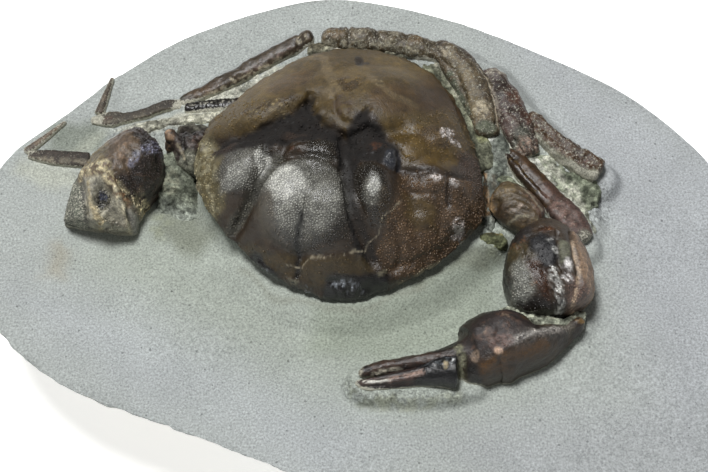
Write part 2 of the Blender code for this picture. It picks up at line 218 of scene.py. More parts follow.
@dataclass(frozen=True)
class Stroke:
    """A band along a line: half its width, its points and the softness of its edge."""

    width: float
    points: Line
    soft: float = 0.5

    def cover(self, x: Numbers, y: Numbers) -> Numbers:
        """1 on the band, 0 away from it."""
        distance, _ = along_line(x, y, self.points)
        return smooth((self.width + self.soft - distance) / (2 * self.soft))


@dataclass(frozen=True)
class Patch:
    """An area inside a closed line of points, with a soft edge."""

    points: Line
    soft: float = 1.0

    def cover(self, x: Numbers, y: Numbers) -> Numbers:
        """How well each place is covered.

        Args:
            x: places across.
            y: places along.

        Returns:
            1 inside, 0 outside.
        """
        loop = (*self.points, self.points[0])
        distance, _ = along_line(x, y, loop)
        inside = np.zeros(np.shape(x), bool)
        for (ax, ay), (bx, by) in zip(loop[:-1], loop[1:], strict=True):
            if ay == by:
                continue
            crosses = (ay > y) != (by > y)
            inside ^= crosses & (x < (bx - ax) * (y - ay) / (by - ay) + ax)
        distance = np.where(inside, distance, -distance)
        return smooth(0.5 + distance / (2 * self.soft))


@dataclass(frozen=True)
class Lump:
    """A rounded swelling over an area, or a dent where rise is below zero.

    Args:
        area: where it lies.
        rise: its height.
        power: 1.5 flows into its surroundings; below 1 it stands out like a ball.
    """

    area: Spot
    rise: float
    power: float = 1.5

    def height(self, x: Numbers, y: Numbers) -> Numbers:
        """Millimetres over the plain form."""
        return self.rise * np.clip(1 - self.area.reach(x, y) ** 2, 0, None) ** self.power


@dataclass(frozen=True)
class Furrow:
    """A groove along a line, or a crest where depth is below zero."""

    depth: float
    width: float
    points: Line

    def height(self, x: Numbers, y: Numbers) -> Numbers:
        """Millimetres over the plain form."""
        distance, _ = along_line(x, y, self.points)
        return -self.depth * np.exp(-((distance / self.width) ** 2))


def lumps(*rows: tuple[float, ...]) -> tuple[Lump, ...]:
    """Lumps from rows of x, y, across, along, rise and maybe degrees turned and power."""
    return tuple(Lump(Spot(*row[:4], *row[5:6]), row[4], *row[6:]) for row in rows)


def furrows(*rows: tuple[float, float, Line]) -> tuple[Furrow, ...]:
    """Furrows from rows of depth, width and points."""
    return tuple(Furrow(*row) for row in rows)


@dataclass(frozen=True)
class Coat:
    """A colour laid over some areas of a surface.

    Args:
        colour: sRGB hex.
        areas: where it lies.
        strength: how much of it covers, from 0 to 1.
        rough: roughness that it brings, or None to leave it.
        grain: how densely granules stand there, or None to leave it.
        dust: how much stone clings there, or None to leave it.
        broken: size of the specks that it is broken into, or 0 for an even coat.
        share: how much of the area the specks cover.
    """

    colour: str
    areas: tuple[Spot | Stroke | Patch, ...]
    strength: float = 1.0
    rough: float | None = None
    grain: float | None = None
    dust: float | None = None
    broken: float = 0.0
    share: float = 0.5

    def cover(self, points: Numbers, warp: float, seed: int) -> Numbers:
        """How much of the coat each point gets.

        Args:
            points: rows of x, y, z.
            warp: how far the areas' edges wander.
            seed: which noise of many.

        Returns:
            One number from 0 to 1 for each point.
        """
        x = points[:, 0] + warp * noise(points, 4 * warp + 0.01, seed)
        y = points[:, 1] + warp * noise(points, 4 * warp + 0.01, seed + 50)
        cover = np.zeros(len(points))
        for area in self.areas:
            cover = np.maximum(cover, area.cover(x, y))
        if self.broken:
            level = 0.9 - 1.8 * self.share
            cover *= smooth((noise(points, self.broken, seed + 90, 2) - level) / 0.35 + 0.5)
        return cover * self.strength


# ---------------------------------------------------------------- meshes


@dataclass
class Surface:
    """A closed mesh while it is being worked on.

    Args:
        points: corners, in crab millimetres.
        faces: blocks of faces with the same number of corners.
    """

    points: Numbers
    faces: list[Numbers]
    paint: Numbers = field(init=False)
    rough: Numbers = field(init=False)
    grain: Numbers = field(init=False)
    dust: Numbers = field(init=False)

    def __post_init__(self) -> None:
        """Gives the surface an even finish to start from."""
        self.paint = np.ones((len(self.points), 4))
        self.rough = np.full(len(self.points), 0.5)
        self.grain = np.zeros(len(self.points))
        self.dust = np.zeros(len(self.points))

    def normals(self) -> Numbers:
        """The outward direction at each corner.

        Returns:
            Unit vectors, one row for each corner.
        """
        total = np.zeros_like(self.points)
        for block in self.faces:
            a, b, c = (self.points[block[:, k]] for k in (0, 1, 2))
            d = self.points[block[:, 3]] if block.shape[1] == 4 else a
            across = np.cross(c - a, d - b) if block.shape[1] == 4 else np.cross(b - a, c - a)
            for k in range(block.shape[1]):
                np.add.at(total, block[:, k], across)
        return total / np.maximum(np.linalg.norm(total, axis=1, keepdims=True), 1e-12)

    def push(self, distance: Numbers) -> None:
        """Moves each corner outwards by its own distance."""
        self.points = self.points + self.normals() * np.reshape(distance, (-1, 1))

    def carve(self, forms: Iterable[Lump | Furrow]) -> None:
        """Raises and sinks the parts that face up by the given forms, along the normals."""
        x, y, _ = self.points.T
        height = np.zeros(len(self.points))
        for form in forms:
            height += form.height(x, y)
        up = smooth(self.normals()[:, 2] * 1.6 + 0.1)
        self.push(height * up)

    def weather(self, size: float, height: float, wear: float, seed: int) -> None:
        """Roughens the surface, and paints its crests paler and its hollows darker: painted light and
        shade that follow the bumps.

        Args:
            size: width of the largest unevenness, in millimetres.
            height: how high it goes.
            wear: how much paler its crests and darker its hollows are painted; painted light and shade.
            seed: which noise of many.
        """
        bumps = noise(self.points, size, seed, 4)
        self.push(height * bumps)
        # Painted light and shade: the paint follows the bumps, paler on crests and darker in hollows
        self.paint[:, :3] *= np.clip(1 + wear * bumps, 0.25, 2.5)[:, None]

    def dress(self, base: str, rough: float, coats: Iterable[Coat], warp: float, seed: int) -> None:
        """Paints the surface.

        Args:
            base: sRGB hex colour under every coat.
            rough: roughness under every coat.
            coats: the coats, the lowest first.
            warp: how far the coats' edges wander, in millimetres.
            seed: which noise of many.
        """
        self.paint[:] = linear(base)
        self.rough[:] = rough
        for number, coat in enumerate(coats):
            cover = coat.cover(self.points, warp, seed + 7 * number)
            self.paint += cover[:, None] * (np.array(linear(coat.colour)) - self.paint)
            if coat.rough is not None:
                self.rough += cover * (coat.rough - self.rough)
            if coat.grain is not None:
                self.grain += cover * (coat.grain - self.grain)
            if coat.dust is not None:
                self.dust += cover * (coat.dust - self.dust)

    def place(self, name: str, material: bpy.types.Material) -> bpy.types.Object:
        """Turns the surface into an object in the row's frame.

        Args:
            name: the object's name.
            material: its finish.

        Returns:
            The object, at the origin and with its place in its mesh.
        """
        mesh = bpy.data.meshes.new(name)
        faces = [corners for block in self.faces for corners in block.tolist()]
        mesh.from_pydata(((self.points - ORIGIN) * MM).tolist(), [], faces)
        paint = mesh.attributes.new("paint", "FLOAT_COLOR", "POINT")
        paint.data.foreach_set("color", self.paint.astype(np.float32).ravel())
        more = ("rough", self.rough), ("grain", self.grain), ("dust", self.dust)
        for key, values in more:
            attribute = mesh.attributes.new(key, "FLOAT", "POINT")
            attribute.data.foreach_set("value", values.astype(np.float32))
        mesh.shade_smooth()
        mesh.materials.append(material)
        piece = bpy.data.objects.new(name, mesh)
        bpy.context.scene.collection.objects.link(piece)
        return piece


def disc_grid(count: int) -> tuple[Numbers, Numbers, Numbers, Numbers]:
    """An even grid of squares drawn out to fill a round disc.

    Args:
        count: points along each side of the grid.

    Returns:
        Each point's share of the way to the rim, its angle, the faces, and the rim's points
        anticlockwise.
    """
    line = np.linspace(-1, 1, count)
    u, v = np.meshgrid(line, line)
    x = u * np.sqrt(1 - v**2 / 2)
    y = v * np.sqrt(1 - u**2 / 2)
    place = np.arange(count * count).reshape(count, count)
    corners = place[:-1, :-1], place[:-1, 1:], place[1:, 1:], place[1:, :-1]
    rim = np.concatenate([place[0, :-1], place[:-1, -1], place[-1, :0:-1], place[:0:-1, 0]])
    quads = np.stack(corners, -1).reshape(-1, 4)
    return np.hypot(x, y).ravel(), np.arctan2(y, x).ravel(), quads, rim


def with_skirt(top: Numbers, quads: Numbers, rim: Numbers, rings: list[Numbers]) -> Surface:
    """Closes a disc of faces with rings of points below it and a fan at the bottom.

    Args:
        top: the disc's points.
        quads: the disc's faces.
        rim: the disc's outer points, anticlockwise.
        rings: rings of as many points as the rim, from the top down.

    Returns:
        The closed surface.
    """
    points = [top, *rings, rings[-1].mean(0, keepdims=True)]
    blocks = [quads]
    upper = rim
    start = len(top)
    for ring in rings:
        lower = start + np.arange(len(ring))
        blocks.append(np.stack([upper, lower, np.roll(lower, -1), np.roll(upper, -1)], 1))
        upper = lower
        start += len(ring)
    middle = np.full(len(upper), start)
    blocks.append(np.stack([middle, np.roll(upper, -1), upper], 1))
    return Surface(np.concatenate(points), blocks)


# ---------------------------------------------------------------- nodes and finishes


class Tree:
    """A node tree that is being built."""

    def __init__(self, tree: bpy.types.NodeTree) -> None:
        """Starts from an empty tree."""
        self.tree = tree
        tree.nodes.clear()

    def add(self, kind: str, inputs: dict | None = None, **settings: object) -> bpy.types.Node:
        """Adds a node with its settings and its links.

        Args:
            kind: the node's type; ShaderNode is put in front where it names no family.
            inputs: what goes into its inputs, by name or number: an output, a node for its first
                output, or a value.
            settings: the node's own settings.

        Returns:
            The node.
        """
        node = self.tree.nodes.new(kind if "Node" in kind else f"ShaderNode{kind}")
        for key, value in settings.items():
            setattr(node, key, value)
        for key, value in (inputs or {}).items():
            if isinstance(value, bpy.types.Node):
                value = value.outputs[0]
            if isinstance(value, bpy.types.NodeSocket):
                self.tree.links.new(value, node.inputs[key])
            else:
                node.inputs[key].default_value = value
        return node


@dataclass(frozen=True)
class ShellFinish:
    """Fossil crab shell: calcite and clay with a thin clear consolidant brushed over it.

    Glossy and a little uneven, so it takes small sharp lights on a dark ground.

    Args:
        name: the material's name.
        mottle: width of the darker and lighter clouds, in millimetres.
        contrast: how far the clouds go from the mean.
        pores: spacing of the fine pits in the shell, in millimetres.
        bump: depth of the fine unevenness, in millimetres.
        shine: strength of its reflections; 0.5 is bare shell, and the consolidant adds to it.
        grit: how far its crystal grain goes from the mean.
        crumb: sRGB hex of the stone that clings to it.
    """

    name: str
    mottle: float = 1.6
    contrast: float = 0.3
    pores: float = 0.8
    bump: float = 0.15
    shine: float = 0.58
    grit: float = 0.52
    crumb: str = "#b6b4a5"

    def build(self) -> bpy.types.Material:
        """Builds its nodes, which read the surface's own attributes.

        Returns:
            The material.
        """
        material = bpy.data.materials.new(self.name)
        material.use_nodes = True
        add = Tree(material.node_tree).add
        place = add("TexCoord").outputs["Object"]
        paint = add("Attribute", attribute_name="paint")
        rough, granular, dust = (add("Attribute", attribute_name=name).outputs["Fac"]
            for name in ("rough", "grain", "dust"))
        clouds = add("TexNoise", {"Vector": place, "Scale": 1 / (self.mottle * MM), "Detail": 5.0,
            "Roughness": 0.68})
        tone = add("MapRange", {"Value": clouds, "From Min": 0.3, "From Max": 0.7,
            "To Min": 1 - self.contrast, "To Max": 1 + self.contrast})
        # Crystal grain of the calcite, 0.5 mm; the real grain is finer, and wouldn't show
        fine = add("TexNoise", {"Vector": place, "Scale": 1 / (0.5 * MM), "Detail": 3.0,
            "Roughness": 0.65})
        grain = add("MapRange", {"Value": fine, "From Min": 0.3, "From Max": 0.7,
            "To Min": 1 - self.grit, "To Max": 1 + self.grit})
        both = add("Math", {0: tone, 1: grain}, operation="MULTIPLY")
        # Painted shade: the floor between granules is painted darker than their tips
        painted_gap_shade = add("Math", {0: granular, 1: -0.2, 2: 1.0}, operation="MULTIPLY_ADD")
        whole = add("Math", {0: both, 1: painted_gap_shade}, operation="MULTIPLY")
        shaded = add("VectorMath", {0: paint, "Scale": whole}, operation="SCALE")
        # Crumbs of pale stone that cling to the shell, about 0.6 mm across
        crumbs = add("TexNoise", {"Vector": place, "Scale": 1 / (0.6 * MM), "Detail": 4.0,
            "Roughness": 0.75})
        level = add("Math", {0: dust, 1: 0.7, 2: crumbs}, operation="MULTIPLY_ADD")
        cling = add("MapRange", {"Value": level, "From Min": 0.74, "From Max": 0.84, "To Min": 0.0,
            "To Max": 1.0})
        pale = add("VectorMath", {0: linear(self.crumb)[:3], "Scale": grain}, operation="SCALE")
        # Sockets 0, 4 and 5 are the factor and the two vectors
        dusty = add("Mix", {0: cling, 4: shaded, 5: pale}, data_type="VECTOR")
        pits = add("TexVoronoi", {"Vector": place, "Scale": 1 / (self.pores * MM)})
        pit = add("MapRange", {"Value": pits, "From Min": 0.1, "From Max": 0.32, "To Min": 0.0,
            "To Max": 1.0})
        relief = add("Math", {0: pit, 1: 0.35, 2: clouds}, operation="MULTIPLY_ADD")
        relief = add("Math", {0: fine, 1: 1.1, 2: relief}, operation="MULTIPLY_ADD")
        bump = add("Bump", {"Height": relief, "Strength": 1.0, "Distance": self.bump * MM})
        patchy = add("Math", {0: clouds, 1: 0.3, 2: -0.15}, operation="MULTIPLY_ADD")
        worn = add("Math", {0: rough, 1: patchy}, operation="ADD", use_clamp=True)
        dull = add("Math", {0: cling, 1: 0.4, 2: worn}, operation="MULTIPLY_ADD", use_clamp=True)
        shader = add("BsdfPrincipled", {"Base Color": dusty.outputs[1], "Roughness": dull,
            "Normal": bump, "IOR": 1.63, "Specular IOR Level": self.shine})
        add("OutputMaterial", {"Surface": shader})
        return material


@dataclass(frozen=True)
class SiltstoneFinish:
    """Calcareous siltstone, ground and air-abraded: dead matt, evenly speckled, with dark specks.

    Args:
        name: the material's name.
        speckle: width of the speckle, in millimetres; real silt is finer, and wouldn't show.
        specks: spacing of the dark mineral specks, in millimetres.
    """

    name: str
    speckle: float = 0.55
    specks: float = 2.4

    def build(self) -> bpy.types.Material:
        """Builds its nodes, which read the surface's own attributes.

        Returns:
            The material.
        """
        material = bpy.data.materials.new(self.name)
        material.use_nodes = True
        add = Tree(material.node_tree).add
        place = add("TexCoord").outputs["Object"]
        paint = add("Attribute", attribute_name="paint")
        rough, torn = (add("Attribute", attribute_name=name).outputs["Fac"]
            for name in ("rough", "grain"))
        silt = add("TexNoise", {"Vector": place, "Scale": 1 / (self.speckle * MM), "Detail": 3.0,
            "Roughness": 0.75})
        tone = add("MapRange", {"Value": silt, "From Min": 0.28, "From Max": 0.72, "To Min": 0.54,
            "To Max": 1.46})
        wash = add("TexNoise", {"Vector": place, "Scale": 1 / (14 * MM), "Detail": 4.0,
            "Roughness": 0.6})
        cloud = add("MapRange", {"Value": wash, "From Min": 0.3, "From Max": 0.7, "To Min": 0.93,
            "To Max": 1.07})
        cells = add("TexVoronoi", {"Vector": place, "Scale": 1 / (self.specks * MM)})
        chance = add("SeparateColor", {"Color": cells.outputs["Color"]})
        size = add("MapRange", {"Value": chance, "From Min": 0.35, "From Max": 1.0, "To Min": 0.0,
            "To Max": 0.15})
        speck = add("Math", {0: cells, 1: size}, operation="LESS_THAN")
        kept = add("Math", {0: speck, 1: -0.45, 2: 1.0}, operation="MULTIPLY_ADD")
        both = add("Math", {0: tone, 1: cloud}, operation="MULTIPLY")
        whole = add("Math", {0: both, 1: kept}, operation="MULTIPLY")
        # Where the stone was left rough it breaks into splinters of about 1.2 mm
        broken = add("TexNoise", {"Vector": place, "Scale": 1 / (1.2 * MM), "Detail": 5.0,
            "Roughness": 0.7, "Distortion": 0.6})
        light = add("MapRange", {"Value": broken, "From Min": 0.32, "From Max": 0.68, "To Min": -0.6,
            "To Max": 0.6})
        # Painted light and shade on the splinters: paler where the bump stands up, darker in its
        # hollows
        splinter_shading = add("Math", {0: light, 1: torn, 2: 1.0}, operation="MULTIPLY_ADD")
        depth = add("Math", {0: broken, 1: torn}, operation="MULTIPLY")
        relief = add("Math", {0: depth, 1: 5.0, 2: silt}, operation="MULTIPLY_ADD")
        whole = add("Math", {0: whole, 1: splinter_shading}, operation="MULTIPLY")
        shaded = add("VectorMath", {0: paint, "Scale": whole}, operation="SCALE")
        bump = add("Bump", {"Height": relief, "Strength": 1.0, "Distance": 0.14 * MM})
        shader = add("BsdfPrincipled", {"Base Color": shaded, "Roughness": rough, "Normal": bump,
            "IOR": 1.5, "Specular IOR Level": 0.25})
        add("OutputMaterial", {"Surface": shader})
        return material


class Bit(Enum):
    """What a scatter is made of."""

    GRANULE = "granules"
    CRYSTAL = "crystals"


class Scatter:
    """Granules of shell or crystals of calcite, strewn over a surface."""

    def __init__(self, bit: Bit) -> None:
        """Builds the tree that strews them.

        Args:
            bit: which of them.
        """
        self.bit = bit
        self.tree = bpy.data.node_groups.new(f"Shell {bit.value}", "GeometryNodeTree")
        add = Tree(self.tree).add
        sockets = self.tree.interface
        sockets.new_socket("Shell", in_out="INPUT", socket_type="NodeSocketGeometry")
        self.keys = {}
        for name, kind in (("Spacing", "Float"), ("Size", "Float"), ("Height", "Float"),
                ("Wear", "Float"), ("Seed", "Int"), ("Material", "Material")):
            socket = sockets.new_socket(name, in_out="INPUT", socket_type=f"NodeSocket{kind}")
            self.keys[name] = socket.identifier
        sockets.new_socket("Granules", in_out="OUTPUT", socket_type="NodeSocketGeometry")
        given = add("NodeGroupInput").outputs
        grain = add("GeometryNodeInputNamedAttribute", {"Name": "strewn"}, data_type="FLOAT")
        scatter = add("GeometryNodeDistributePointsOnFaces", {"Mesh": given["Shell"],
            "Distance Min": given["Spacing"], "Density Max": 9e6,
            "Density Factor": grain.outputs["Attribute"], "Seed": given["Seed"]},
            distribute_method="POISSON")
        # Painted highlight: the granules take the shell's paint made paler, for the sparkle on their
        # tips; crystals take it as paler calcite
        paint = add("GeometryNodeInputNamedAttribute", {"Name": "paint"}, data_type="FLOAT_VECTOR")
        worn = add("VectorMath", {0: paint.outputs["Attribute"], "Scale": given["Wear"]},
            operation="SCALE")
        painted = add("GeometryNodeStoreNamedAttribute", {"Geometry": scatter, "Name": "paint",
            "Value": worn}, data_type="FLOAT_VECTOR", domain="POINT")
        bare = add("GeometryNodeStoreNamedAttribute", {"Geometry": painted, "Name": "grain",
            "Value": 0.0}, data_type="FLOAT", domain="POINT")
        if bit is Bit.GRANULE:
            ball = add("GeometryNodeMeshIcoSphere", {"Radius": 1.0, "Subdivisions": 1})
            shape = add("GeometryNodeSetShadeSmooth", {0: ball})
            turned = scatter.outputs["Rotation"]
        else:
            shape = add("GeometryNodeMeshCube", {"Size": (1.8, 1.1, 1.4)})
            tumble = add("FunctionNodeRandomValue", {0: (0.0, 0.0, 0.0), 1: (6.28, 6.28, 6.28),
                "Seed": given["Seed"]}, data_type="FLOAT_VECTOR")
            turned = tumble.outputs[0]
        chance = add("FunctionNodeRandomValue", {2: 0.65, 3: 1.25, "Seed": given["Seed"]},
            data_type="FLOAT")
        wide = add("Math", {0: given["Size"], 1: chance.outputs[1]}, operation="MULTIPLY")
        high = add("Math", {0: wide, 1: given["Height"]}, operation="MULTIPLY")
        scale = add("CombineXYZ", {"X": wide, "Y": wide, "Z": high})
        stand = add("GeometryNodeInstanceOnPoints", {"Points": bare, "Instance": shape,
            "Rotation": turned, "Scale": scale})
        real = add("GeometryNodeRealizeInstances", {0: stand})
        dressed = add("GeometryNodeSetMaterial", {"Geometry": real, "Material": given["Material"]})
        add("NodeGroupOutput", {"Granules": dressed})

    def over(self, shell: bpy.types.Object, where: Numbers, spacing: float, size: float,
             height: float, wear: float, seed: int) -> bpy.types.Object:
        """Strews them over one shell, as a plain mesh.

        Args:
            shell: the piece they stand on.
            where: how densely they stand at each of its points, from 0 to 1.
            spacing: least distance between two, in millimetres.
            size: mean radius, in millimetres.
            height: their height as a share of their radius.
            wear: how many times paler they are painted than the shell: on granules a painted highlight
                on their worn tips, on crystals the paler calcite.
            seed: which scatter of many.

        Returns:
            Their object.
        """
        carrier = bpy.data.objects.new(f"{shell.name}_carrier", shell.data.copy())
        strewn = carrier.data.attributes.new("strewn", "FLOAT", "POINT")
        strewn.data.foreach_set("value", where.astype(np.float32))
        bpy.context.scene.collection.objects.link(carrier)
        modifier = carrier.modifiers.new("Granules", "NODES")
        modifier.node_group = self.tree
        modifier[self.keys["Spacing"]] = spacing * MM
        modifier[self.keys["Size"]] = size * MM
        modifier[self.keys["Height"]] = height
        modifier[self.keys["Wear"]] = wear
        modifier[self.keys["Seed"]] = seed
        modifier[self.keys["Material"]] = shell.data.materials[0]
        depsgraph = bpy.context.evaluated_depsgraph_get()
        mesh = bpy.data.meshes.new_from_object(carrier.evaluated_get(depsgraph))
        carrier.modifiers.clear()
        spent = carrier.data
        bpy.data.objects.remove(carrier)
        bpy.data.meshes.remove(spent)
        mesh.name = f"{shell.name}_{self.bit.value}"
        piece = bpy.data.objects.new(mesh.name, mesh)
        bpy.context.scene.collection.objects.link(piece)
        return piece


def settle(piece: bpy.types.Object, slot: Slot, *nodes: str) -> None:
    """Hands a finished piece to the frame and reports it.

    Args:
        piece: the piece.
        slot: not used.
        nodes: the CAD nodes that it stands for.
    """
    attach(piece, BODY)
    if nodes:
        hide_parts(*nodes)
    faces = sum(len(p.vertices) - 2 for p in piece.data.polygons)
    log.info("%s: %d triangles", piece.name, faces)


# ---------------------------------------------------------------- the shell of the back

CARAPACE_MARGIN = ((32.3, 6, 12.5), (29.5, 21.5, 14), (22.5, 38.5, 15.5), (11.5, 47.8, 16),
    (-3, 51, 16), (-18, 47.8, 16), (-33, 37.3, 15), (-45, 25, 13), (-47.3, 14.5, 11.5), (-42, 1, 10),
    (-32.5, -10.3, 8.5), (-22, -18.6, 6.5), (-9, -22.8, 5), (4, -20.9, 5.5), (15, -16.2, 7),
    (26, -8.3, 9.5), (31.5, -1, 11.5))
"""The carapace's margin anticlockwise from the crab's left side, as (x, y, height)."""
CARAPACE_CENTRE = (-5.0, 14.0)


def carapace_margin(turn: Numbers) -> tuple[Numbers, Numbers]:
    """Where the carapace's margin lies in each direction.

    Args:
        turn: directions from the carapace's centre, in radians.

    Returns:
        How far the margin lies from the centre, and its height.
    """
    margin = curve_through(CARAPACE_MARGIN, 360, closed=True)
    dx, dy = margin[:, 0] - CARAPACE_CENTRE[0], margin[:, 1] - CARAPACE_CENTRE[1]
    angle = np.arctan2(dy, dx)
    order = np.argsort(angle)
    reach = np.interp(turn, angle[order], np.hypot(dx, dy)[order], period=2 * np.pi)
    height = np.interp(turn, angle[order], margin[order, 2], period=2 * np.pi)
    return reach, height


# Floor of the neck furrow, where the shell has flaked off
NECK_FLOOR = Patch(((-40.5, 17.6), (-33, 19), (-28, 19.8), (-22, 21.8), (-18, 24.4), (-15.8, 27.4),
    (-13.6, 27.6), (-13.2, 22.6), (-11.4, 18.8), (-8, 17.8), (-5, 15.6), (-2.6, 19.6), (0.6, 22),
    (1.6, 18.4), (4.4, 17), (7, 13.6), (9.6, 9.4), (9.4, 6), (4, 4.4), (-1.8, 6.4), (-3.6, -3),
    (-2.4, -10), (1.6, -16), (-1.6, -17.4), (-5.6, -9), (-6.4, 2), (-7.4, 8), (-12, 13.4), (-20, 12.8),
    (-24, 13), (-30, 11.4), (-35, 12.4), (-40, 13)), 0.9)


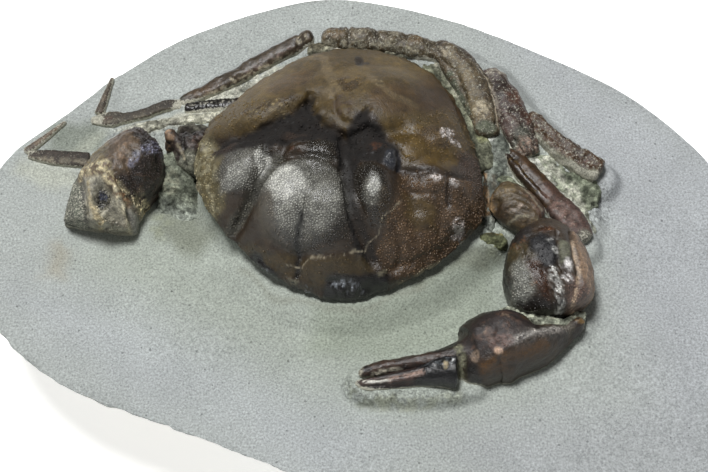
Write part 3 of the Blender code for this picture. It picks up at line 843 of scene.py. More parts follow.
@dataclass(frozen=True)
class Carapace:
    """The domed shell of the crab's back, granular in front and smooth behind its neck furrow.

    Args:
        grid: points along each side of its grid.
        height: of the plain dome, over the stone's face.
        flatness, shoulder: the dome's section; see the part's source.
        margin_share: how wide a rim stays free of lobes and grooves, as a share of the reach.
        notches: depth of the margin's notches, as a share of the reach.
        flaking: height of the break where shell flaked off the neck furrow.
        broken_rim: height of the break round the margin.
        rim_dust: how much stone clings to the margin.
        wall: side wall under the margin, as (share of the outline, share of the margin's height).
        lobes, grooves: the dome's main forms, as in the part's source.
        details: smaller relief on them.
        coats: what is laid over the bare shell.
    """

    grid: int = 214
    height: float = 28.35
    flatness: float = 2.3
    shoulder: float = 0.8
    margin_share: float = 0.12
    notches: float = 0.018
    flaking: float = 0.7
    broken_rim: float = 0.42
    rim_dust: float = 0.25
    wall: Line = ((0.996, 0.955), (0.99, 0.9), (0.982, 0.82), (0.968, 0.72), (0.95, 0.6), (0.925, 0.45),
        (0.9, 0.3), (0.885, 0.15), (0.875, 0.02))
    lobes: tuple[Lump, ...] = lumps(
        (-22, -4, 11, 12, 4.2),  # stomach, right half
        (-9, -8, 9, 12, 3.2),  # stomach, left half
        (-34.5, 8, 9, 10, 3.2),  # right gill, front
        (3, -1, 7.5, 11, 3),  # left gill, front
        (22, 2, 12, 9, 2.6),  # left gill, side
        (25, -7, 7, 7, 1.4),  # left corner
        (4, 27, 15, 14, 2.4),  # heart
        (-25, 27, 13, 12, 1.8),  # right gill, rear
        (21, 22, 10, 13, 1.6),  # left gill, rear
    )
    grooves: tuple[Furrow, ...] = furrows(
        (2.6, 2.6, ((-42, 18), (-34, 18.5), (-27, 18), (-19, 23), (-13, 26))),
        (2.4, 2.6, ((-18, 17), (-10, 17.5), (-5, 13.5), (-4, 5), (1, -9), (6, -17))),
        (2.4, 2.2, ((-26, 9), (-30, 0), (-35, -7), (-37, -10))),
        (1.2, 1.8, ((-15.5, -5), (-17.5, -15), (-19, -21))),
        (2, 2.4, ((-5, 13.5), (3, 15), (9, 17))),
        (1.2, 2.4, ((12, 3), (13, -8), (10, -17))),
    )
    details: tuple[Lump | Furrow, ...] = (
        *lumps((-16, -2.6, 12.6, 11.6, 1.7, 0, 0.95), (-20.4, -2.2, 8.4, 9.6, 0.9, 0, 1.2),
            (-9.8, -6, 6, 9, 0.8, 0, 1.2), (-28.2, 7.6, 4.6, 6.4, 1.3, 15, 1.2),
            (-34.4, 6, 6, 6, 1, 0, 1.2), (1.8, -1.4, 5.8, 8, 1.7, 8, 1.1),
            (-12.8, 9.8, 5.8, 4, 0.8, 0, 1.1), (6.5, 7.6, 2.6, 3.8, 1.5, -20, 0.8),
            (-18, 11.4, 2.6, 1.6, 0.5), (19.6, 15.8, 4, 3, 0.9, 20), (25.4, 13.4, 3, 1.8, 0.6, 20),
            (18.8, 1.7, 3, 2.4, 1), (24.2, 1.8, 2.2, 2.4, 1.1), (24, -4.8, 5.4, 2.6, 1.1, 15),
            (14.6, -6, 3.6, 2.4, 0.6), (13, 11.6, 6, 4.6, 0.9), (28.6, 6, 3, 5, 0.7),
            (-31.6, 23, 6, 3, 0.5, 10), (-1.6, 41, 1.8, 2.6, -0.4), (-5.6, 21.4, 2.4, 3, 0.7),
            (-11.2, 23.6, 2, 4, 0.7), (-10, 32, 7, 6, 0.5), (10, 33, 8, 7, 0.6),
            (4, -16.8, 3.4, 1.8, 0.8), (-24.6, -15.6, 4, 1.8, 0.8, -35), (-8, -20.6, 6, 1.4, -0.7, -5),
            (-43.4, 9, 2.4, 6, 0.6, 10), (12, -11, 5, 4, 0.6)),
        *furrows(
            (1.1, 1.3, ((-40, 17), (-33, 17.6), (-28, 18), (-22, 20), (-18, 22.6), (-15.2, 26))),
            (1, 0.9, ((-14.6, 28.6), (-14.4, 24), (-13.4, 20.5), (-10, 17.4), (-6, 15.2))),
            (0.7, 0.8, ((-8.4, 26.5), (-8.2, 22), (-6, 18.6), (-3, 17.6), (-0.5, 20), (1, 22))),
            (1, 1, ((-3, 15), (1, 16.4), (4, 15.6), (6, 13), (8.6, 10), (9.6, 7.2), (9, 4))),
            (1.3, 1.3, ((-21, 13), (-23, 8), (-26.4, 3), (-31.6, -2), (-36, -7), (-39, -9))),
            (0.9, 1, ((-24.6, 7.4), (-20, 8.8), (-14, 8.2), (-9, 6.8), (-6, 4))),
            (1.6, 1.3, ((-5.4, 14), (-5.2, 6), (-5, 0), (-4, -5), (-1.6, -10.6), (2, -16))),
            (0.35, 1.1, ((-13.4, 5.6), (-13.4, 0), (-14.8, -5), (-16.2, -9), (-17.2, -17))),
            (0.6, 0.8, ((9, 5), (14, 4.6), (19, 5), (24, 4.8), (29, 6.2))),
            (0.5, 0.6, ((10, 0.4), (14, -0.6), (19, -0.8), (20, -4), (19.2, -9))),
            (0.6, 0.5, ((21.6, 4), (21.8, 0.6), (21.6, -2.4))),
            (0.4, 0.5, ((-20.6, 11), (-16, 13), (-11, 13.6), (-8, 12.6))),
            (0.6, 0.9, ((-28, -9.6), (-21, -13.8), (-12, -15.6), (-4, -15))),
            (0.5, 0.9, ((8, -8.6), (9.4, -13), (8, -17))),
            (-0.5, 0.6, ((-28, -13.4), (-22, -17), (-14, -20), (-6, -21))),
            (-0.5, 0.7, ((5, -18.4), (12, -16.2), (20, -12.6), (26.5, -7.4))),
            (0.6, 0.7, ((6, -16.6), (13, -14.2), (20, -10.6), (25, -6.4))),
            (0.7, 0.8, ((22.6, 36.6), (25.4, 29), (27.6, 21))),
        ),
    )
    coats: tuple[Coat, ...] = (
        # Smooth honey-brown shell behind the neck furrow
        Coat("#50401e", (Patch(((-46, 23), (-40, 20), (-33, 19.3), (-28, 20), (-22, 22), (-17, 25.4),
            (-14.5, 27.6), (-13, 22), (-11, 19.4), (-8, 18.4), (-5, 16.4), (-2, 20.8), (2, 21),
            (5, 16.6), (8, 13), (10, 8), (22, 7), (26, 14), (33, 18), (28, 45), (0, 55), (-40, 42)),
            0.8),), rough=0.55),
        Coat("#6d5a31", (Spot(-27, 33, 10, 7, 20), Spot(-3, 33, 6, 6), Spot(10, 40, 9, 5, -20)), 0.5),
        Coat("#493520", (Spot(-20, 34, 7, 4, 30), Spot(8, 26, 8, 5, 20), Spot(20, 30, 6, 10, 10)),
            0.55),
        Coat("#75664a", (Stroke(1.4, ((-20, 47), (-12, 44), (-10, 36), (-8, 30), (-12, 26))),
            Stroke(1, ((1, 34), (3, 30), (8, 26), (14, 25)))), 0.5),
        Coat("#3a2917", (Spot(21, 26, 7, 9, 10), Spot(27, 20, 4, 8, 10)), 0.7, rough=0.5),
        Coat("#5b4d2f", (Patch(((-43, 23), (-36, 21), (-28, 22), (-24, 27), (-33, 31), (-41, 30)), 1.5),
            Patch(((8, 13), (14, 22), (22, 27), (30, 25), (33, 18), (26, 13), (16, 16)), 1.5)), 0.5,
            rough=0.42, grain=0.65),
        # Right gill corner: olive shell under a dusting of stone
        Coat("#6c6346", (Patch(((-48, 21), (-42, 21.5), (-38.5, 17), (-37, 9), (-35.4, 4), (-37, 0),
            (-42, -2), (-49, 8)), 1.2),), 0.9, rough=0.5, grain=0.35),
        Coat("#a9a387", (Patch(((-48, 20), (-41, 21), (-40, 14), (-38, 6), (-39, 0), (-43, -2),
            (-49, 8)), 1.5),), 0.5, rough=0.7, broken=1.3, share=0.42),
        # Black floor of the neck furrow
        Coat("#120c08", (NECK_FLOOR,), 0.96, rough=0.95, grain=0.2),
        Coat("#14110f", (Patch(((-24, 19.6), (-16, 22), (-10, 16.6), (-5, 12), (-5, 6), (3, 8), (8, 9),
            (6, 14), (-1, 16), (-8, 18)), 1),), 0.8, rough=0.3, broken=0.8, share=0.2),
        Coat("#3a2c22", (Spot(-37, 15, 3.4, 2.6), Spot(-19, 15.4, 3, 1.4, 10)), 0.6),
        Coat("#453732", (Spot(-5.8, 22.6, 2.6, 3.4, 10), Spot(-7, 26, 1.6, 2.4)), 0.5, broken=1.4),
        Coat("#4a2c18", (Spot(2.8, 11.4, 2.8, 1.6, 10), Spot(-18, 11.2, 2, 1)), 0.7, broken=1.2),
        # Granular stomach and gill lobes
        Coat("#2b2721", (Patch(((-27, 3), (-25.6, -6), (-21, -12.6), (-12, -14.6), (-4.6, -12.6),
            (-5.6, -3), (-7, 3.6), (-10, 8), (-17, 8.6), (-23, 7)), 1.4), Patch(((-16, 12.4), (-8, 13),
            (-7, 7), (-16, 6)), 1), Patch(((-39, 8), (-36, 12), (-30, 11.4), (-27, 13.8), (-24, 11),
            (-25, 6), (-29, 2.4), (-34, 1.4), (-38, 3)), 1), Patch(((-3, 5.6), (1.6, 5.8), (4.4, 3),
            (6.6, -3), (5, -8), (1.6, -8), (-2.6, -3)), 1)), 0.95, rough=0.27, grain=1),
        # Painted highlights and sheen: pale spots on the tops of the lobes
        Coat("#6d6c65", (Spot(-15.6, -2.4, 11.6, 9.4), Spot(-27.2, 7.2, 3.2, 4.8, 10),
            Spot(-32, 7, 7, 4.6), Spot(2, -2, 2.6, 4, 10)), 0.7),
        Coat("#8f8f88", (Spot(-11.4, -6, 5, 6), Spot(-19.6, -2, 8, 8.6)), 0.5),
        Coat("#d3d3cc", (Spot(-20.2, -0.6, 4.6, 5.6, 0), Spot(-26.4, 7.8, 2.3, 3.2, 10),
            Spot(2.4, -2, 1.5, 2.2, 10)), 0.6),
        Coat("#a6a69f", (Spot(-33.8, 5.2, 4.4, 2.4, 25),), 0.5),
        Coat("#3f3424", (Spot(-26, -6, 2.6, 5, 10), Spot(5.8, -6, 2, 5, 20)), 0.6),
        Coat("#434239", (Stroke(1.5, ((-39, -6), (-34, -3.6), (-29.4, 1), (-25, 4.6), (-22.8, 9)),
            1),), 0.85, rough=0.6, grain=0.7),
        Coat("#17130f", (Stroke(1.3, ((-5.6, 8), (-5.2, 3), (-3.6, -4), (-1, -9.4), (2, -14)), 1),),
            0.8, rough=0.6, grain=0.5),
        Coat("#2e3138", (Spot(6.8, 7.2, 2.4, 3, -20),), 0.9, rough=0.3, grain=0),
        # Reddish granular left gill
        Coat("#52402d", (Patch(((9.4, 4.8), (18, 5.2), (24, 4.8), (29, 7), (33, 8), (33, -1), (26, -9),
            (16, -15.6), (7.6, -18), (3.4, -13.6), (6.6, -5)), 1),), 0.9, rough=0.38, grain=0.7),
        Coat("#42352c", (Patch(((23.6, 14), (29, 16), (33.5, 10), (33, 2), (28, 3), (24.6, 8)), 1.5),),
            0.8, rough=0.35, grain=0.95),
        Coat("#544424", (Patch(((10, -1.6), (14, -1), (18.4, -3), (18.6, -7), (13, -8.2), (9.6, -5)),
            1),), 0.8, grain=0.1),
        Coat("#5c4923", (Patch(((8.6, 11), (7, 15), (9, 19.6), (14, 19), (21, 15), (23.4, 11),
            (22, 6.4), (10.4, 6.2)), 1.2),), 0.75, rough=0.36, grain=0.25),
        Coat("#54442f", (Spot(19.6, 16.4, 5.6, 3, 15),), 0.7, grain=0.9),
        # Painted highlights on the crests of the left gill
        Coat("#cbc4c0", (Spot(21.4, 18, 1.5, 2.4, -30), Spot(23.6, 16, 1.6, 0.9, -20),
            Spot(18.6, 3.2, 1.9, 1.2), Spot(23.4, 3, 0.9, 1.5), Spot(24.4, -6.6, 2, 1.4, 20)), 0.85,
            rough=0.24, grain=1, broken=0.6, share=0.55),
        Coat("#2b221b", (Stroke(0.8, ((9.4, 5), (15, 4.2), (20, 4.6), (26, 5.6)), 0.8),
            Spot(22, -0.4, 1, 3)), 0.7),
        # Smooth olive-brown front
        Coat("#41351d", (Patch(((-35, -7.6), (-28, -10.6), (-24, -13), (-17.6, -13.8), (-16, -15.4),
            (-8, -15.8), (0, -15), (3, -17.6), (-5, -20.2), (-14, -20), (-24, -16.4)), 0.9),), 0.9,
            rough=0.42, grain=0.08),
        Coat("#0b0d11", (Patch(((-10, -18.6), (-2, -18.2), (6, -17.8), (6, -22), (-4, -24), (-12, -24)),
            0.9), Spot(-27.4, -14.6, 5, 1.8, -38), Stroke(0.7, ((-16.4, -8), (-17.6, -13),
            (-18.6, -20)), 0.9)), 0.9, rough=0.2, grain=0),
        # Painted highlights on the glossy knobs of the front rim
        Coat("#8d9299", (Spot(-27.2, -15.2, 2.6, 0.6, -38), Spot(-4.6, -20.6, 4.2, 0.6, -3),
            Spot(-16, -20.6, 2, 0.5, -12)), 0.8, rough=0.22, grain=1, broken=0.7, share=0.4),
        Coat("#756f5d", (Spot(4.4, -17, 2, 0.6, 10), Spot(-19, -18.6, 1.6, 0.4, -15)), 0.7,
            broken=1, share=0.6),
        Coat("#221a12", (Spot(-1.5, 41.2, 1.3, 2.1, 8), Spot(0.4, 40.3, 0.9, 0.7)), 0.92, rough=0.5),
        Coat("#33261a", (Stroke(1.2, ((-32, 24.4), (-26, 24.6), (-20, 27)), 1.2), Spot(-5, 31, 4, 3)),
            0.6, rough=0.36, grain=0.9, broken=1.6, share=0.6),
        # Specks of stone left in the pits
        Coat("#9b8c68", (Patch(((-31, 23), (-22, 22.6), (-19, 25.4), (-24, 26.6), (-30, 25.6)), 1),
            Spot(4, 31.4, 1.2, 2.6), Spot(-7.6, 32, 1, 1), Spot(-0.4, 22.6, 1.6, 1.4)), 0.7, rough=0.7,
            broken=0.5, share=0.26),
        Coat("#8a8674", (Patch(((23, 39), (27, 31), (29, 22), (30.4, 20), (28, 33), (25, 40)), 0.8),),
            0.7, rough=0.7, broken=1.6, share=0.6),
        Coat("#7f7c6c", (Spot(-28, 44, 12, 1, 35),), 0.5, rough=0.7, broken=1.2, share=0.5),
        # Calcite veins
        Coat("#b0a68e", (Stroke(0.05, ((9.4, -2), (7, -5.6), (4.4, -8.6), (1.6, -11.6), (-1.2, -14),
            (-5, -15), (-9, -15.2), (-14, -14.8)), 0.14), Stroke(0.05, ((-22, -16), (-17, -16.6),
            (-14, -15.4), (-10, -15.4)), 0.14)), 0.85, rough=0.5, broken=1, share=0.8),
        Coat("#9c937c", (Stroke(0.3, ((8.6, -18.4), (14, -16.8), (19, -14), (24, -10.6)), 0.35),
            Stroke(0.3, ((-46.6, 12), (-44, 4.6), (-40.4, -1.6), (-36, -6.8)), 0.3)), 0.75, rough=0.6),
    )

    def build(self) -> Surface:
        """Shapes, roughens and paints the shell.

        Returns:
            The shell as a closed surface.
        """
        share, turn, quads, rim = disc_grid(self.grid)
        points = self.ring(share, turn)
        _, margin = carapace_margin(turn)
        dome = (1 - np.clip(share, 0, 1) ** self.flatness) ** self.shoulder
        x, y = points[:, 0], points[:, 1]
        swell = np.zeros(len(points))
        for form in (*self.lobes, *self.grooves):
            swell += form.height(x, y)
        points[:, 2] = margin + (self.height - margin) * dome
        points[:, 2] += swell * smooth((1 - share) / self.margin_share)
        rings = []
        for part, drop in curve_through(self.wall, 2 * len(self.wall)):
            ring = self.ring(np.full(len(rim), part), turn[rim])
            ring[:, 2] = margin[rim] * drop
            rings.append(ring)
        shell = with_skirt(points, quads, rim, rings)
        shell.carve(self.details)
        shell.push(0.14 * noise(shell.points, 6.0, 11, 3) - 0.05)
        out = shell.points[:, :2] - CARAPACE_CENTRE
        reach, _ = carapace_margin(np.arctan2(out[:, 1], out[:, 0]))
        span = np.hypot(out[:, 0], out[:, 1]) / reach
        worn = smooth((span - 0.87) / 0.09) * smooth(shell.points[:, 2] / 2.0)
        shell.push(self.broken_rim * worn * noise(shell.points, 2.8, 17, 4))
        flaked = NECK_FLOOR.cover(*shell.points.T[:2])
        shell.push(self.flaking * flaked * noise(shell.points, 2.1, 15, 4))
        shell.dress("#33271a", rough=0.4, coats=self.coats, warp=0.9, seed=21)
        # Fine unevenness, painted paler on its crests and darker in its hollows as painted light and
        # shade
        shell.weather(size=1.8, height=0.07, wear=0.4, seed=12)
        shell.grain *= smooth(shell.normals()[:, 2] * 4 - 0.2)
        shell.dust = np.maximum(shell.dust, self.rim_dust * smooth((span - 0.95) / 0.06))
        return shell

    def ring(self, share: Numbers, turn: Numbers) -> Numbers:
        """Points on the face on their way to the margin, whose edge is a little notched.

        Args:
            share: how far each lies, as a share of the way to the margin.
            turn: the direction that each lies in.

        Returns:
            Rows of x, y and 0.
        """
        reach, _ = carapace_margin(turn)
        edge = np.stack([np.cos(turn) * reach, np.sin(turn) * reach, np.zeros(len(turn))], 1)
        notch = 1 - self.notches * (1 + noise(edge, 3.0, 5, 4)) * smooth((share - 0.9) / 0.1)
        across = share * reach * notch
        x = CARAPACE_CENTRE[0] + np.cos(turn) * across
        y = CARAPACE_CENTRE[1] + np.sin(turn) * across
        return np.stack([x, y, np.zeros(len(x))], 1)

    def show(self, material: bpy.types.Material, granules: Scatter) -> None:
        """Builds the shell and its granules and hands them over."""
        form = self.build()
        shell = form.place("carapace_dome", material)
        grains = granules.over(shell, form.grain, spacing=0.56, size=0.33, height=0.5, wear=1.6, seed=3)
        settle(shell, Slot.CARAPACE, "carapace")
        settle(grains, Slot.CARAPACE)


# ---------------------------------------------------------------- claws and legs


@dataclass(frozen=True)
class Limb:
    """A claw or leg piece: a tube with rounded ends that follows its stations.

    Args:
        name: the CAD node that it stands for.
        stations: (x, y, height of the axis, half width, half thickness).
        ends: length of the rounding at the first and the last station.
        slot: its material slot.
        colour: sRGB hex of the bare shell.
        coats: what is laid over it.
        forms: relief on it.
        rough: roughness of the bare shell.
        uneven: width and height of its unevenness.
        fine: height of the finer unevenness on top of that.
        flute: pitch and height of ribs across it, or zeros.
        warp: how far its coats' edges wander.
        grains: spacing, size and height share of its granules, or nothing.
        druse: where crystals of calcite stand on it.
        step: width of its faces.
        square: 2 makes it round, more makes it flat on top with straight sides.
        wear: how much paler its crests and darker its hollows are painted; painted light and shade.
        dust: how much stone clings to it.
        plate: whether it stands for a CAD node; rough stone between the legs doesn't.
    """

    name: str
    stations: Line
    ends: tuple[float, float]
    slot: Slot
    colour: str
    coats: tuple[Coat, ...] = ()
    forms: tuple[Lump | Furrow, ...] = ()
    rough: float = 0.42
    uneven: tuple[float, float] = (3.0, 0.16)
    fine: float = 0.08
    flute: tuple[float, float] = (0.0, 0.0)
    warp: float = 0.5
    grains: tuple[float, float, float] | None = None
    druse: tuple[Spot | Stroke | Patch, ...] = ()
    step: float = 0.4
    square: float = 2.0
    wear: float = 0.4
    dust: float = 0.2
    plate: bool = True

    def build(self) -> Surface:
        """Shapes, roughens and paints the limb.

        Returns:
            The limb as a closed surface.
        """
        fine = curve_through(self.stations, 400)
        run = np.linalg.norm(np.diff(fine[:, :3], axis=0), axis=1)
        length = np.concatenate([[0], np.cumsum(run)])
        first, last = self.ends
        cap = np.linspace(0, np.pi / 2, 9)[1:-1]
        middle = np.arange(first, length[-1] - last, self.step)
        start, finish = first * (1 - np.cos(cap)), length[-1] - last * (1 - np.cos(cap))[::-1]
        places = np.concatenate([start, middle, finish])
        swell = np.concatenate([np.sin(cap), np.ones(len(middle)), np.sin(cap)[::-1]])
        values = np.column_stack([np.interp(places, length, column) for column in fine.T])
        tangent = np.gradient(values[:, :3], places, axis=0)
        tangent /= np.linalg.norm(tangent, axis=1, keepdims=True)
        side = np.cross(tangent, (0, 0, 1))
        side /= np.linalg.norm(side, axis=1, keepdims=True)
        up = np.cross(side, tangent)
        girth = np.pi * (values[:, 3] + values[:, 4]).max()
        around = max(20, int(girth / self.step))
        turn = np.linspace(0, 2 * np.pi, around, endpoint=False)
        across, above = (np.sign(wave) * np.abs(wave) ** (2 / self.square)
            for wave in (np.cos(turn), np.sin(turn)))
        wide, high = (values[:, k, None, None] * swell[:, None, None] for k in (3, 4))
        rings = (values[:, None, :3] + wide * across[:, None] * side[:, None]
            + high * above[:, None] * up[:, None])
        count = len(rings)
        tips = np.stack([fine[0, :3], fine[-1, :3]])
        place = np.arange(count * around).reshape(count, around)
        beside = np.roll(place, -1, axis=1)
        quads = np.stack([place[:-1], place[1:], beside[1:], beside[:-1]], -1).reshape(-1, 4)
        head, tail = np.full(around, count * around), np.full(around, count * around + 1)
        fans = np.concatenate([np.stack([head, place[0], beside[0]], 1),
            np.stack([tail, beside[-1], place[-1]], 1)])
        shell = Surface(np.concatenate([rings.reshape(-1, 3), tips]), [quads, fans])
        shell.carve(self.forms)
        seed = sum(map(ord, self.name))
        pitch, rise = self.flute
        if pitch:
            along = np.concatenate([np.repeat(places, around), (0, length[-1])])
            shell.push(rise * np.sin(along * 2 * np.pi / pitch))
        shell.dress(self.colour, self.rough, self.coats, self.warp, seed + 300)
        size, height = self.uneven
        # Painted light and shade on the relief: crests paler, hollows darker
        shell.weather(size, height, self.wear, seed)
        shell.weather(1.1, self.fine, self.wear, seed + 9)
        shell.grain *= smooth(shell.normals()[:, 2] * 4 - 0.2)
        if not self.plate:
            shell.grain[:] = 1.0
        x, y, z = shell.points.T
        gap = z - Nodule().relief(x, y)
        shell.dust = np.clip(np.maximum(shell.dust, self.dust) + 0.8 * smooth(1 - gap / 1.6), 0, 1)
        return shell

    def show(self, material: bpy.types.Material, granules: Scatter, crystals: Scatter) -> None:
        """Builds the limb with its granules and crystals and hands them over.

        Args:
            material: its finish.
            granules: what strews granules over it.
            crystals: what strews crystals over it.
        """
        form = self.build()
        shell = form.place(f"{self.name}_shell" if self.plate else self.name, material)
        extra = []
        if self.grains:
            spacing, size, height = self.grains
            extra.append(granules.over(shell, form.grain, spacing, size, height, wear=1.5,
                seed=len(self.name)))
        if self.druse:
            x, y, _ = form.points.T
            where = np.max([area.cover(x, y) for area in self.druse], 0)
            where *= smooth(form.normals()[:, 2] * 2 + 0.6)
            extra.append(crystals.over(shell, where, spacing=0.62, size=0.42, height=1.0, wear=1.25,
                seed=len(self.name)))
        settle(shell, self.slot, *([self.name] if self.plate else []))
        for piece in extra:
            settle(piece, self.slot)


